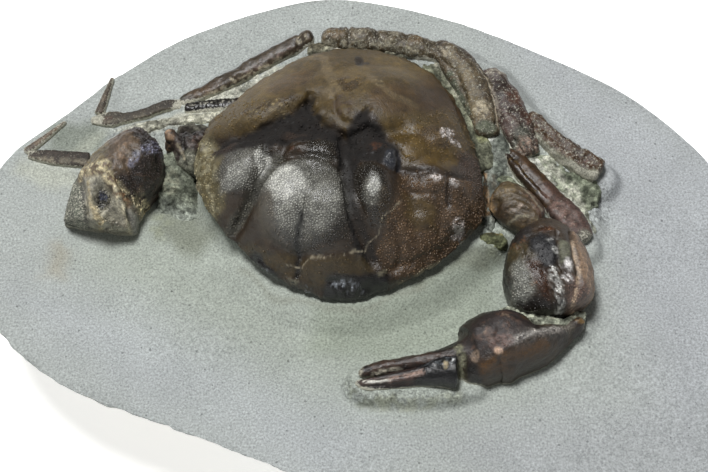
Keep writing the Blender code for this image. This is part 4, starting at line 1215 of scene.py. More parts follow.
LIMBS = (
    Limb(
        "left_claw_arm",
        ((35, 7.6, 8.6, 4.6, 4.6), (38.4, 5, 9.4, 5.6, 5.3), (42, 1.8, 9.1, 5.6, 5),
            (46.6, -1.4, 8, 4.4, 4)),
        (2, 2.4), Slot.CLAW, "#52432c",
        (
            Coat("#65563a", (Spot(37, 6.4, 2.6, 3.4, 20),), 0.7),
            Coat("#5a4034", (Stroke(1.4, ((43.6, 5.4), (46.8, 1), (48, -1.6)), 1.4),), 0.8),
            Coat("#382a1c", (Spot(35, 9.4, 2.4, 2), Spot(36, 0, 2, 2.4)), 0.7),
            Coat("#b9a99c", (Stroke(0.35, ((38.6, 0.2), (41.4, 1.4), (44, 0.8)), 0.4),), 0.8,
                broken=0.9),
            Coat("#a39c86", (Stroke(0.3, ((36, -3.6), (40, -1.4), (44.6, -1.4), (48, -2.6)), 0.3),
                Stroke(0.3, ((35.4, 11), (40.8, 8.2), (44.8, 3.6), (48, -1)), 0.3)), 0.75, rough=0.6,
                broken=1.4, share=0.75),
            Coat("#b08f66", (Stroke(0.7, ((33.4, 12), (33.2, 6), (33.4, 1)), 0.6),), 0.7, rough=0.7,
                broken=1.1, share=0.6),
        ),
        (
            *furrows(
                (0.45, 0.45, ((35, 2.6), (39.4, 3.6), (43.6, 2), (46.4, -1))),
                (0.35, 0.4, ((35, 5), (39.6, 5.6), (43.8, 3.6))),
                (0.3, 0.4, ((36, 8), (39.6, 7.6), (42.6, 5.6))),
                (0.4, 0.5, ((35, 0), (39.4, 0.6), (44, -0.6))),
                (0.9, 0.8, ((34.6, 3), (34.4, -1), (35, -4))),
            ),
        ),
        uneven=(3, 0.25), dust=0.16, fine=0.13, rough=0.48,
    ),
    Limb(
        "left_claw_wrist",
        ((43.2, -3.2, 5.4, 5.2, 7), (45.4, -7, 6, 8.8, 10.6), (47.2, -12.2, 6.2, 11.4, 13.2),
            (48.3, -18, 5.8, 11.8, 12.7), (48.9, -23.4, 4.8, 10.6, 11), (49.6, -27.4, 3.8, 7.4, 7.8)),
        (3.4, 3.2), Slot.CLAW, "#3d3022",
        (
            Coat("#4f452b", (Spot(38.6, -14, 3, 5, 10), Spot(44, -14, 3, 3)), 0.8),
            Coat("#171414", (Patch(((36.6, -11.6), (39, -6), (43.4, -5.4), (43.4, -9.6), (41, -12)),
                1),), 0.9, rough=0.5),
            # Blue-black top, with painted white highlights along its edge
            Coat("#101218", (Patch(((42.4, -11.4), (45.4, -9.6), (49.2, -11.8), (50, -17), (48.4, -21),
                (45.7, -19.6), (44, -17), (42.2, -14.6)), 1),), 0.95, rough=0.55, grain=0.55),
            Coat("#3d210c", (Patch(((41.4, -17.6), (44.2, -18.2), (46.9, -21), (47.6, -26.4),
                (46.1, -29), (44.2, -24.3), (42, -20.5)), 1), Spot(47, -8, 2.2, 1.2)), 0.9,
                rough=0.36, grain=0.6),
            Coat("#0f0e0e", (Patch(((38, -24.6), (42.4, -25.6), (47, -27), (51.8, -27), (52.8, -32),
                (46, -32), (37, -28)), 1), Stroke(0.8, ((36.4, -10), (36.2, -17), (37.4, -23)), 0.8)),
                0.85, rough=0.34, grain=0.7),
            # Painted sheen: silver over the granular facet
            Coat("#8f9088", (Patch(((38, -16.6), (39.8, -16), (42.3, -20.6), (43.4, -25), (41, -26.6),
                (38.2, -24.6)), 1.1),), 0.85, rough=0.32, grain=1),
            # Painted highlights along the edge of the top
            Coat("#d2d2cd", (Stroke(1.1, ((47.9, -20.6), (49, -23.6), (49.8, -26.4), (50.6, -29)), 0.8),
                Stroke(0.4, ((47.5, -12.3), (49.4, -11.4)), 0.5), Spot(49, -15.2, 0.8, 0.7)), 0.85,
                rough=0.26, grain=1, broken=0.5, share=0.5),
            # Bare grey-green lining, chipped round its edge
            Coat("#676857", (Patch(((50.2, -11.6), (52.8, -13), (52.9, -17.2), (50.6, -19),
                (49.7, -16)), 0.5),), 0.9, rough=0.7, grain=0),
            Coat("#9a8068", (Patch(((54, -6), (58, -12), (60.6, -17), (60, -24), (57.4, -25),
                (55.8, -21), (54.8, -16)), 1),), 0.9, rough=0.5),
            Coat("#6f5a50", (Patch(((51.6, -21), (56, -22), (58.6, -24), (55, -28), (52, -29)), 1),),
                0.85, rough=0.36, grain=0.8),
            # Painted highlights on the knobs of the lining
            Coat("#e2dedb", (Spot(52.3, -19.2, 1.2, 1.8), Spot(51.9, -22.3, 1.6, 1)), 0.9, rough=0.2,
                broken=0.5, share=0.75),
            Coat("#c4ad93", (Stroke(0.5, ((53.7, -12), (54.2, -16), (55, -20), (54.6, -23.6),
                (53.6, -27)), 0.4),), 0.8, rough=0.6, broken=0.7, share=0.7),
            Coat("#6e4b2b", (Spot(40, -11.6, 2.4, 2), Spot(47.6, -8.2, 2.4, 1.2),
                Spot(43.4, -22.4, 1.4, 1.4)), 0.7, broken=0.6, share=0.35),
            Coat("#9d947c", (Stroke(0.3, ((37.6, -4.6), (41.4, -1.6), (46, -2.4)), 0.4),), 0.7,
                rough=0.7, broken=0.8, share=0.65),
        ),
        (
            *furrows(
                (-0.9, 0.9, ((47.9, -20), (49, -23.6), (50, -27), (50.8, -30))),
                (0.7, 0.6, ((49.8, -10), (49.6, -15), (49.6, -18.6), (51, -21))),
                (1, 0.8, ((53.4, -8.6), (53.8, -14), (54.6, -19), (55, -22), (53.8, -26))),
                (0.7, 1, ((45.6, -20), (47, -23.6), (47.6, -28))),
                (0.5, 0.6, ((39, -8), (43, -8.4), (46.4, -7))),
            ),
            *lumps((51.4, -15.4, 1.9, 3.2, 0.9, 0, 0.9), (52.2, -19.4, 1.4, 2, 0.9),
                (51.6, -22.6, 1.8, 1.4, 0.6), (41, -9, 3, 2.6, 0.6), (39.8, -20.6, 2.6, 4.4, 0.6),
                (56.6, -23, 3, 3, 0.6), (44.6, -13, 3, 3, 0.4), (38.6, -12, 2, 3, 0.5)),
        ),
        uneven=(2.6, 0.34), grains=(0.56, 0.28, 0.75), fine=0.2, dust=0.06, square=2.3,
    ),
    Limb(
        "left_claw_hand",
        ((56.8, -28.4, 3.6, 1.8, 3.1), (53.2, -30.6, 3.2, 2.3, 4), (49, -33, 3, 3.7, 6.4),
            (43.8, -35.3, 3, 5.6, 9.4), (38, -35.2, 3, 9, 11.3), (32.4, -35.8, 2.8, 9.2, 11.1),
            (27, -38.6, 2.8, 7.8, 9), (22.4, -39.2, 4, 4, 5.4), (16, -40.1, 4.9, 2.4, 2.8),
            (8.9, -41, 4.6, 2, 2.3), (3.2, -41.9, 4.1, 1.8, 2), (-2, -43.2, 3.6, 1.1, 1.3)),
        (2, 1.4), Slot.CLAW, "#2b2019",
        (
            Coat("#281d1a", (Patch(((24.6, -37), (29, -31), (34.6, -26.6), (40.2, -28.6), (45, -31.6),
                (42.9, -34.6), (37.1, -38.2), (32.2, -40.2), (25.3, -40.4)), 1.2),), 0.9, rough=0.6),
            Coat("#5a4438", (Patch(((24, -38), (30, -32), (36, -29), (40, -33), (36, -38), (28, -40)),
                1.2),), 0.7, rough=0.55, broken=1.3, share=0.36),
            Coat("#33240f", (Patch(((28, -43), (33.3, -42.4), (38, -40.7), (44.5, -37.4), (49.2, -35.4),
                (50, -38.2), (43.3, -42.6), (36.6, -45.4), (31.9, -46.4), (27.4, -46)), 1),), 0.95,
                rough=0.34),
            # Painted highlight: a warm amber band along the lower flank
            Coat("#57390f", (Stroke(0.8, ((29.4, -43.6), (34, -42.8), (40, -40.6), (46.4, -37.4)),
                1.1),), 0.8, rough=0.45),
            Coat("#4b371a", (Spot(44, -31, 4, 1.2, -10),), 0.7),
            Coat("#3b2e1c", (Patch(((25, -47.8), (34.5, -46.9), (43.6, -42.8), (50, -37.6), (53, -33),
                (58, -36), (48, -48), (36, -52), (25, -53)), 1.4),), 0.9, rough=0.7, dust=0.1),
            Coat("#0f0c09", (Patch(((26, -42.6), (28.6, -43), (30, -46), (29, -50), (26, -51)), 0.9),),
                0.9, rough=0.28),
            # Granular crest, with painted highlights along it
            Coat("#77716a", (Stroke(1.6, ((36.4, -38.8), (43.4, -35.8), (49, -33.6)), 1.4),), 0.6,
                rough=0.3, grain=1, broken=0.6, share=0.55),
            Coat("#bab5ae", (Stroke(0.7, ((37.6, -38.6), (43.4, -35.6), (49, -33.4), (52, -32)), 0.9),),
                0.9, rough=0.26, grain=1, broken=0.6, share=0.72),
            Coat("#5e463d", (Spot(34.6, -38.8, 3.2, 1.8, 10),), 0.8, rough=0.5),
            Coat("#bfa088", (Spot(33.8, -41, 1.1, 0.8),), 0.85, rough=0.5),
            Coat("#8a7663", (Stroke(0.2, ((29.6, -33.4), (30.6, -34.6), (30.4, -36)), 0.35),
                Spot(28, -41.4, 0.9, 1.4, 20), Spot(36.4, -31.6, 1.6, 0.5, -30)), 0.8, rough=0.6,
                broken=0.8, share=0.7),
            Coat("#3a271b", (Patch(((-3, -41), (18, -37.6), (22, -40.6), (8, -43), (-3, -44.6)), 0.8),),
                0.9, rough=0.36),
            Coat("#1b1614", (Spot(0, -42.6, 1.4, 0.9), Spot(20, -37.8, 3.4, 1, 20),
                Stroke(0.5, ((14, -42.4), (8, -43.2), (2, -44.2)), 0.4)), 0.85),
            Coat("#b9b4a2", (Stroke(0.35, ((1.6, -43.6), (5, -43.4), (9.6, -42.9)), 0.35),
                Spot(-1.4, -42.6, 1, 1.4)), 0.85, rough=0.6, broken=0.8, share=0.75),
            Coat("#7d7d64", (Stroke(0.8, ((23.6, -38.4), (24.8, -41), (24.6, -44), (25.6, -47),
                (25.4, -51)), 0.7),), 0.95, rough=0.85, grain=0, dust=0.3, broken=0.8, share=0.72),
            Coat("#544e43", (Spot(51.6, -31.2, 2.6, 2),), 0.8, rough=0.7, dust=0.25),
            Coat("#7d6238", (Spot(56.2, -29, 1.5, 1.2),), 0.9, rough=0.4, broken=0.8, share=0.65),
        ),
        (
            *furrows(
                (0.7, 0.8, ((24.8, -41), (24.6, -44), (25.6, -47), (25.4, -50))),
                (0.35, 0.8, ((22, -36.6), (14, -38.4), (6, -39.8))),
                (-0.7, 1.3, ((51, -33), (44, -36), (38, -39.4), (32, -42.6))),
                (0.6, 1.2, ((53, -33), (51.6, -30), (50, -28))),
                (0.3, 0.5, ((30, -32), (33, -35), (32, -38))),
            ),
            *lumps((33.8, -41, 1.6, 1.2, 0.6), (28.6, -34.8, 1.8, 1.3, 0.4), (36, -31, 5, 4, 0.5),
                (31, -36, 3, 2, -0.5), (56, -29, 2, 1.6, 0.7), (40, -31.6, 3, 1.6, -0.3)),
        ),
        uneven=(3.4, 0.26), grains=(0.55, 0.27, 0.7), fine=0.13, dust=0.06,
    ),
    Limb(
        "left_claw_finger",
        ((24, -43.4, 5.2, 4.4, 4.8), (19.6, -43.3, 5, 3.9, 4.4), (13.5, -44.2, 4, 2.6, 3.1),
            (6.3, -45.3, 3.5, 2.1, 2.3), (1.1, -45.9, 3.1, 1.7, 1.8), (-2.8, -45.6, 2.6, 1, 1.1)),
        (1, 1.2), Slot.CLAW, "#0e0e10",
        (
            Coat("#41302a", (Patch(((13, -42), (12.4, -48), (-4, -48), (-4, -43.6)), 0.9),), 0.9,
                rough=0.4),
            Coat("#d9d6ca", (Stroke(0.4, ((-0.4, -45.6), (3, -46), (6.2, -45.7)), 0.3),), 0.9,
                rough=0.4, broken=0.9, share=0.85),
            Coat("#a3887a", (Stroke(0.6, ((6.4, -45.6), (9, -45), (14.4, -44.4)), 0.5),), 0.85,
                rough=0.45, broken=1, share=0.75),
            Coat("#15110f", (Stroke(0.7, ((-2, -47.4), (8, -47.4), (14, -47)), 0.5),
                Stroke(0.4, ((3, -44.4), (9, -44), (13, -43.4)), 0.4)), 0.9),
            Coat("#a99a78", (Spot(20.4, -43.4, 0.7, 1.1, 10),), 0.9, rough=0.6),
            # Painted glints on the finger's base
            Coat("#5f6468", (Patch(((14, -43), (20, -40), (23, -41), (22, -44), (15, -45)), 0.8),), 0.7,
                rough=0.3, grain=0.8, broken=0.9, share=0.45),
            # Painted highlight on a knob
            Coat("#e0e2e2", (Spot(22.4, -42.2, 0.4, 0.3),), 0.9, rough=0.2),
            Coat("#77765d", (Spot(24.8, -45, 1, 3.4),), 0.9, rough=0.85),
        ),
        (
            *furrows(
                (0.5, 0.4, ((14, -46.6), (6, -47.1), (-1, -47.2))),
                (0.35, 0.4, ((14, -44.2), (6, -44.9), (0, -45.2))),
            ),
            *lumps((22.6, -42.4, 1.4, 1.2, 0.6), (20, -43, 2, 1.6, 0.4), (17, -42.6, 1.4, 1.2, 0.4)),
        ),
        rough=0.24, uneven=(2.2, 0.16), warp=0.25, step=0.36, grains=(0.6, 0.26, 0.6), dust=0.03,
    ),
    Limb(
        "left_second_thigh",
        ((38.2, 22.8, 6.4, 1.6, 2), (41.6, 18.4, 6.6, 2.9, 2.8), (45.6, 13.2, 6.3, 3.4, 3),
            (50, 7.8, 5.6, 3.6, 2.8), (51.8, 5.4, 5, 3.4, 2.4)),
        (1.2, 0.6), Slot.LEG, "#44311f",
        (
            Coat("#2c2015", (Patch(((36.6, 21), (39, 23), (42.4, 17), (46.6, 11), (49, 7.4), (47.4, 4),
                (43, 10)), 0.7),), 0.9, rough=0.32),
            Coat("#6e5a34", (Stroke(0.8, ((39.4, 19.6), (43.4, 13.6), (46.4, 8.6)), 0.7),), 0.6,
                broken=0.7, share=0.35),
            Coat("#59423a", (Spot(50, 9, 3, 3),), 0.7),
        ),
        furrows((0.5, 0.6, ((38.8, 21.6), (42, 16.6), (46.3, 10.6), (49, 7.6)))),
        uneven=(2.4, 0.22), warp=0.3, step=0.36, square=2.6, dust=0.12, fine=0.14,
        rough=0.46,
    ),
    Limb(
        "left_second_shin",
        ((49.8, 8.4, 5, 3.2, 2.4), (52.8, 4, 5.5, 4.1, 3.1), (56, -0.6, 4.9, 4.1, 3),
            (58.4, -4.6, 3.8, 3.2, 2.4)),
        (0.8, 1.2), Slot.LEG, "#57433c",
        (
            Coat("#7c6358", (Spot(51.4, 4.6, 2, 1.4), Spot(54, 1, 2.4, 3, 40)), 0.7, rough=0.5,
                broken=1.1, share=0.45),
            Coat("#241a14", (Stroke(0.6, ((48.4, 4.4), (51, 0), (54.4, -4.4)), 0.5),), 0.8),
            Coat("#6c6b60", (Spot(58.8, -4.4, 2.6, 2.4),), 0.8, rough=0.8, dust=0.5),
        ),
        uneven=(2.2, 0.35), warp=0.4, step=0.36, square=2.6, fine=0.16, rough=0.52,
    ),
    Limb(
        "left_third_thigh",
        ((33.6, 46.6, 9.4, 3, 3.6), (37, 39.6, 9.6, 4.4, 4.4), (40.4, 31.8, 9, 4.6, 4.4),
            (43.2, 24.8, 7.4, 3.8, 3.8), (44.8, 21, 6.2, 2.8, 3.2)),
        (1.4, 1), Slot.LEG, "#3d2c26",
        (
            Coat("#2b1f19", (Stroke(1, ((37.4, 42), (39.6, 36), (41, 30)), 1),
                Spot(36.6, 38, 1.6, 3)), 0.75),
            Coat("#4f2f1f", (Spot(41, 36.6, 2.6, 3.4, 20), Spot(43.6, 31, 1.6, 3)), 0.6),
            Coat("#5e4c46", (Spot(39.6, 27.6, 2.6, 4, 10),), 0.6, rough=0.5),
            Coat("#40463c", (Patch(((40, 26), (43, 29), (45.4, 26), (43, 21), (40, 22)), 1),), 0.7,
                rough=0.7, dust=0.2),
            Coat("#8f7a6b", (Patch(((42, 24.6), (45.6, 25.4), (48.4, 22.4), (47.4, 19), (44, 17.6),
                (41.4, 20.6)), 0.9),), 0.85, rough=0.7, broken=1, share=0.6, dust=0.3),
            Coat("#2b211c", (Stroke(0.25, ((43.2, 24.4), (44.4, 19.4)), 0.3), Stroke(0.25, ((45.4, 25),
                (46.4, 20)), 0.3)), 0.8),
            Coat("#9c9487", (Stroke(0.4, ((33.6, 43), (35.2, 37), (36.4, 31)), 0.5),
                Spot(36.4, 44.6, 2.6, 1.4)), 0.8, rough=0.7, broken=1.2, share=0.65),
        ),
        (
            *lumps((45, 21.6, 2.8, 3, 0.4, 0, 1), (38, 37, 3, 3, 0.6), (41.6, 33, 2, 2, 0.5),
                (37, 44, 2.4, 2, 0.7)),
            *furrows(
                (0.5, 0.4, ((43, 25), (44.6, 19))),
                (0.5, 0.4, ((45.2, 25.6), (46.6, 19.6))),
                (0.9, 0.6, ((40.6, 24), (42.6, 20.4), (45.4, 18.2))),
                (0.7, 0.7, ((40, 31), (43.4, 28), (45.6, 25.4))),
            ),
        ),
        uneven=(2.8, 0.5), square=2.4, dust=0.28, fine=0.22, rough=0.52,
    ),
    Limb(
        "left_third_shin",
        ((44.2, 33, 8, 2.8, 3.4), (50.4, 26, 7, 3.1, 3.8), (57, 20.6, 6, 3.4, 3.8),
            (64, 16.6, 4.6, 3.6, 3.8)),
        (1.2, 1), Slot.LEG, "#49331f",
        (
            Coat("#2a1e16", (Stroke(0.7, ((47, 33), (53, 27), (58, 22.6), (64, 20)), 0.7),), 0.7),
            Coat("#8e9180", (Patch(((46, 27.6), (50, 23), (55, 19), (59, 16.6), (66, 15), (63, 9),
                (54, 13), (44, 24)), 0.7),), 0.92, rough=0.85, dust=0.6),
            Coat("#5f3a2c", (Spot(61, 17.8, 3, 0.8, -15),), 0.5, broken=0.9),
        ),
        (
            *furrows(
                (-0.6, 1, ((46.6, 31.6), (52, 26.6), (58, 21.6), (64, 18.8))),
                (0.6, 0.8, ((46, 28.2), (52, 22.4), (58, 18), (64, 15))),
            ),
        ),
        uneven=(2.4, 0.45), rough=0.52, square=2.4, fine=0.24, dust=0.3,
    ),
    Limb(
        "left_rear_thigh",
        ((18.6, 52.6, 12.3, 2.8, 3.6), (24.2, 48.6, 12, 4.7, 4.5), (29, 42, 11, 5.3, 4.8),
            (31.8, 35, 10, 5, 4.6), (33, 28.4, 8.8, 4, 3.9), (33.4, 25.6, 8, 2.8, 3.4)),
        (1.4, 1.2), Slot.LEG, "#4f4330",
        (
            Coat("#6d6145", (Stroke(1.6, ((23, 48.6), (27, 43.4), (29.4, 37), (30.4, 31)), 1.6),), 0.7),
            Coat("#33291c", (Stroke(0.9, ((24, 52.6), (30, 47.6), (34, 41.4), (36, 34)), 1),
                Spot(21, 52.6, 2.4, 1.6)), 0.8),
            Coat("#403022", (Spot(27, 48, 3, 2, -40), Spot(33, 38, 1.6, 3)), 0.6, broken=1.6),
            Coat("#b8ad97", (Stroke(0.25, ((30.6, 46.6), (34, 40.6), (35.6, 34), (36.2, 28)), 0.3),),
                0.8, rough=0.6, broken=1.4, share=0.8),
            Coat("#b5aa92", (Spot(32.4, 31.6, 3, 2.4), Spot(22, 50, 2.4, 2)), 0.75, rough=0.7,
                broken=1, share=0.45, dust=0.3),
            Coat("#59604f", (Spot(32.6, 27, 3.4, 1.8), Stroke(0.8, ((23.4, 43), (26.4, 36),
                (28.6, 30)))), 0.8, rough=0.8, broken=1.6, share=0.7, dust=0.35),
        ),
        (
            *furrows(
                (0.8, 0.7, ((30.6, 47.4), (34, 41.2), (35.7, 34), (36.2, 28))),
                (0.6, 0.7, ((21, 47), (25, 42.4), (27.6, 35))),
                (-0.4, 1.6, ((24, 50), (29, 44), (32, 36))),
            ),
            *lumps((27.4, 46, 3, 2, 0.4, -45), (31.6, 33, 2.4, 3, 0.5), (22, 50.6, 2.6, 2, 0.8)),
        ),
        uneven=(3.4, 0.4), square=2.8, dust=0.26, fine=0.2, rough=0.55,
    ),
    Limb(
        "tail_band",
        ((-12, 55.2, 12.4, 2.8, 3.2), (-5.5, 55.3, 13, 3.5, 3.6), (3, 54.7, 13, 3.3, 3.6),
            (11.2, 53.4, 13, 3.5, 3.6), (17, 51.8, 12.8, 3.3, 3.5), (20.6, 50.4, 12.2, 2.8, 3)),
        (0.9, 1.4), Slot.LEG, "#4e4330",
        (
            Coat("#a39c87", (Patch(((-3.6, 53.4), (0, 54), (1, 56), (-3, 56)), 0.8), Patch(((5, 54.6),
                (9.6, 54.4), (10, 56.4), (5, 56.6)), 0.8)), 0.75, rough=0.75, broken=1.2, share=0.65,
                dust=0.3),
            Coat("#8f8a76", (Patch(((-12, 51.6), (-2, 51), (8, 50.6), (18, 48), (18.6, 50.4), (8, 52.8),
                (-4, 53.4), (-12, 53.6)), 0.9),), 0.7, rough=0.8, broken=1.2, share=0.55, dust=0.35),
            Coat("#2c2419", (Stroke(0.7, ((-12, 57.8), (0, 58.2), (12, 56.8), (19, 53.6)), 0.8),
                Stroke(0.5, ((-4.4, 58.4), (-4.6, 53)), 0.5), Stroke(0.5, ((3.4, 58.4), (3.2, 53)),
                0.5)), 0.8),
            Coat("#6b573a", (Spot(-8.4, 55.6, 2.6, 1.6), Spot(14, 52.8, 2, 1.6)), 0.6),
        ),
        (
            *lumps((-8.4, 55.2, 3.6, 2.6, 0.7, 0, 1), (-0.6, 55.2, 3.2, 2.4, 0.5, 0, 1),
                (7.6, 54.4, 3.4, 2.4, 0.5, 0, 1), (15, 52.4, 3, 2.6, 0.7, 0, 1)),
            *furrows(
                (0.7, 0.5, ((-4.6, 51), (-4.4, 59))),
                (0.6, 0.5, ((3.2, 50.6), (3.4, 59))),
                (0.4, 0.6, ((11, 50), (11.6, 57.6))),
            ),
        ),
        uneven=(2.4, 0.5), square=2.6, dust=0.28, fine=0.2, rough=0.5,
    ),
    Limb(
        "right_rear_thigh",
        ((-14.4, 57, 11, 3, 3.2), (-19.2, 55, 10.5, 2.7, 3), (-26.5, 51.6, 9, 2.6, 2.8),
            (-34.8, 47.6, 7, 2.5, 2.6), (-43.2, 43.9, 5, 2.2, 2.2), (-51.6, 40.4, 3.5, 1.6, 1.6)),
        (1.2, 1), Slot.LEG, "#43382a",
        (
            Coat("#2a231a", (Stroke(0.7, ((-20, 57.4), (-28, 53.8), (-36, 49.6), (-50, 43)), 0.8),
                Spot(-14, 57, 1.6, 2)), 0.85),
            Coat("#54422f", (Spot(-44, 43.6, 5, 1.4, 20),), 0.7),
            Coat("#6b5750", (Stroke(0.6, ((-19, 53.6), (-26, 50.4), (-33, 47)), 0.6),), 0.6, broken=1,
                dust=0.25),
            Coat("#3a3a30", (Spot(-51.6, 41, 1.6, 1.4),), 0.8),
            Coat("#b5ab93", (Stroke(0.5, ((-18, 52.4), (-28, 48.2), (-38, 43.6), (-46, 40.4)), 0.6),
                Spot(-36.6, 45.4, 1, 0.6), Spot(-17.6, 55.4, 1.6, 1.2)), 0.8, rough=0.7, broken=0.9,
                share=0.5, dust=0.4),
        ),
        (
            *lumps((-16, 56.4, 3, 2.6, 0.7), (-36, 47, 3, 1.6, 0.4)),
            *furrows((0.5, 0.5, ((-18.6, 59), (-18.4, 53)))),
        ),
        uneven=(3, 0.35), warp=0.35, step=0.36, square=2.6, dust=0.1,
    ),
    Limb(
        "right_third_thigh",
        ((-27, 38.5, 7.2, 2.2, 2), (-36, 37.9, 6.4, 2.3, 2), (-43, 37.9, 5.6, 2.1, 1.9),
            (-50, 38, 4.6, 1.7, 1.6)),
        (1, 0.8), Slot.LEG, "#1b1816",
        (
            Coat("#4a3a30", (Spot(-33, 38, 3, 2),), 0.6, broken=1),
            Coat("#b9b6a8", (Stroke(0.4, ((-28, 38.8), (-38, 38.2), (-48, 38.2)), 0.3),), 0.75,
                rough=0.3, broken=0.5, share=0.36),
        ),
        rough=0.32, uneven=(1.6, 0.24), flute=(1.15, 0.07), warp=0.4, step=0.3, dust=0.1,
        wear=0.4,
    ),
    Limb(
        "right_third_shin",
        ((-50.6, 39.8, 3.4, 1.8, 1.6), (-55.6, 40, 2.8, 1.6, 1.5), (-61.4, 38, 2, 1.5, 1.4),
            (-66.4, 37, 1.4, 1.6, 1.3), (-70.6, 36.8, 1.2, 2.4, 1.2), (-76.4, 36.4, 0.8, 0.9, 0.8)),
        (0.8, 0.6), Slot.LEG, "#4a4339",
        (
            Coat("#6f695a", (Stroke(0.5, ((-52, 38.6), (-60, 37), (-68, 35.4), (-75, 36)), 0.5),), 0.7,
                broken=1.2, share=0.6),
            Coat("#2d261f", (Stroke(0.5, ((-52, 41.2), (-57, 41), (-62, 39.2), (-68, 38.2)), 0.4),
                Spot(-55, 40, 2, 1)), 0.8),
            Coat("#5b3f36", (Spot(-71.4, 36.6, 1.4, 0.8),), 0.5),
        ),
        rough=0.7, uneven=(2, 0.22), warp=0.3, step=0.36, square=4,
    ),
    Limb(
        "right_third_toe",
        ((-71.2, 51, 0.9, 0.6, 0.9), (-72.5, 45.4, 1.2, 1, 1.2), (-74.2, 38.2, 1.4, 1.5, 1.3)),
        (1, 0.6), Slot.LEG, "#4d4339",
        (Coat("#6d6354", (Stroke(0.3, ((-71.6, 50), (-74, 39)), 0.3),), 0.6),),
        rough=0.55, uneven=(1.6, 0.08), warp=0.2, step=0.3,
    ),
    Limb(
        "right_second_shin",
        ((-75.5, 22.6, 2, 2.2, 1.5), (-82.2, 23.6, 1.5, 2.4, 1.3), (-87.5, 24.3, 1.2, 2, 1.2),
            (-93, 25.4, 0.9, 1.2, 1)),
        (0.8, 0.6), Slot.LEG, "#3f372f",
        (
            Coat("#77705f", (Stroke(0.7, ((-76, 21.6), (-84, 22.4), (-93, 23.6)), 0.5),), 0.75,
                broken=1.6, share=0.7),
            Coat("#2b241e", (Stroke(0.4, ((-76, 24.4), (-84, 25.4), (-92, 26.4)), 0.4),), 0.8),
        ),
        rough=0.7, uneven=(2, 0.18), warp=0.3, step=0.36, square=4,
    ),
    Limb(
        "right_second_toe",
        ((-94, 26, 1.1, 1.2, 1.1), (-90.6, 28.7, 1.2, 1.2, 1.1), (-83.3, 36.2, 0.9, 0.5, 0.9)),
        (0.8, 1), Slot.LEG, "#5b4e42",
        (Coat("#8d7a62", (Stroke(0.3, ((-91, 28), (-85, 34)), 0.3),), 0.6),),
        rough=0.55, uneven=(1.6, 0.08), warp=0.2, step=0.3,
    ),
    Limb(
        "right_claw_arm",
        ((-54, 24.6, 8.4, 2, 5.4), (-50.4, 23.2, 8.4, 3.6, 6), (-47, 21.4, 8.2, 5.8, 7),
            (-42.6, 19.8, 9, 6.6, 6.5)),
        (1.4, 2), Slot.CLAW, "#332822",
        (
            Coat("#1a1513", (Spot(-46, 24.4, 4, 2), Spot(-48.6, 20, 1, 4, 10)), 0.85, rough=0.4),
            Coat("#57433a", (Spot(-44, 22, 3, 3),), 0.6, broken=1.4),
            Coat("#94795f", (Patch(((-55.4, 26), (-52, 26.2), (-51.4, 22.6), (-53.4, 20.6),
                (-55.6, 22.4)), 0.7),), 0.8, rough=0.6, broken=1, share=0.7),
            Coat("#6f7061", (Patch(((-51, 19), (-46, 18), (-43, 15), (-48, 13), (-53, 16)), 1),),
                0.85, rough=0.8, broken=1.8, share=0.75, dust=0.3),
            Coat("#a59a80", (Stroke(0.3, ((-50.4, 20.6), (-48.6, 17.6)), 0.4),), 0.8),
        ),
        (
            *furrows(
                (1.2, 0.8, ((-50.4, 27), (-49.6, 23), (-49.4, 19), (-48.4, 15))),
                (0.8, 0.8, ((-47.6, 26), (-45.6, 22.6), (-43.6, 20))),
            ),
            *lumps((-53, 24, 2, 2.6, 1), (-45, 23, 3, 2, 0.7)),
        ),
        uneven=(2.4, 0.7), step=0.36, wear=0.6, dust=0.2, fine=0.16, rough=0.5,
    ),
    Limb(
        "right_claw_hand",
        ((-55.6, 22.6, 6.4, 5.6, 7.9), (-59.4, 20.2, 6.2, 8.6, 11.8), (-63.7, 16.2, 5.8, 9.6, 13.4),
            (-68, 11.8, 4.4, 9.8, 13.4), (-70.5, 6, 2.8, 10, 12), (-71.4, 0.6, 1.4, 10, 9.4)),
        (3, 0.8), Slot.CLAW, "#5a4a38",
        (
            # Black-brown back and lower flank, with a granular brown field between
            Coat("#2d2522", (Patch(((-65, 26), (-59, 26), (-53, 24), (-52.6, 14), (-54.6, 8.6),
                (-60, 2.6), (-64, 4.4), (-66.2, 8.4), (-62.6, 10.4), (-59.6, 14), (-60.4, 19.6),
                (-63, 22)), 1),), 0.92, rough=0.34, grain=0.9),
            Coat("#3a2718", (Spot(-58.4, 8.4, 3.6, 3.4, 30),), 0.75, rough=0.5, broken=1.4),
            # Painted blue highlights on the back
            Coat("#7d7e8f", (Spot(-57.2, 18, 1.7, 3.4, -32), Spot(-61.4, 13.4, 1.2, 2.4, -30)), 0.8,
                rough=0.24, broken=0.6, share=0.6),
            Coat("#6d6140", (Patch(((-74.4, 19), (-69, 20.4), (-68.8, 13.6), (-72, 12), (-76, 11)),
                1.4),), 0.85, rough=0.5, dust=0.2),
            Coat("#7c6754", (Spot(-65, 18, 2.6, 2.2, 30), Spot(-64.6, 13.4, 2, 2)), 0.6, rough=0.6,
                broken=0.9, share=0.6),
            # Torn edge in cream calcite
            Coat("#c4b894", (Stroke(1.6, ((-75, 11.6), (-72, 10.6), (-69.4, 10), (-66.8, 7.2),
                (-63.6, 4.4), (-60.6, 4.8), (-59, 6)), 0.9), Spot(-71, 11.4, 3.4, 2)), 0.85, rough=0.75,
                broken=1, share=0.6, dust=0.35),
            Coat("#8d6a4a", (Spot(-63.6, 3.6, 2.4, 0.8, -10),), 0.75, broken=0.8, share=0.6),
            # The broken front: mottled hollow, grey plates, brown lower edge
            Coat("#8f8c7c", (Patch(((-76, 9.6), (-70, 8.4), (-66.6, 4), (-62.6, 2.4), (-58, 4.4),
                (-58, -12), (-80, -12)), 0.8),), 0.85, rough=0.55, dust=0.28),
            Coat("#26231f", (Spot(-69.6, 3.4, 1.9, 2.6, -10),), 0.8, rough=0.4, broken=0.7, share=0.75),
            Coat("#474c60", (Spot(-69.4, 4.4, 1.2, 0.9),), 0.8, rough=0.22),
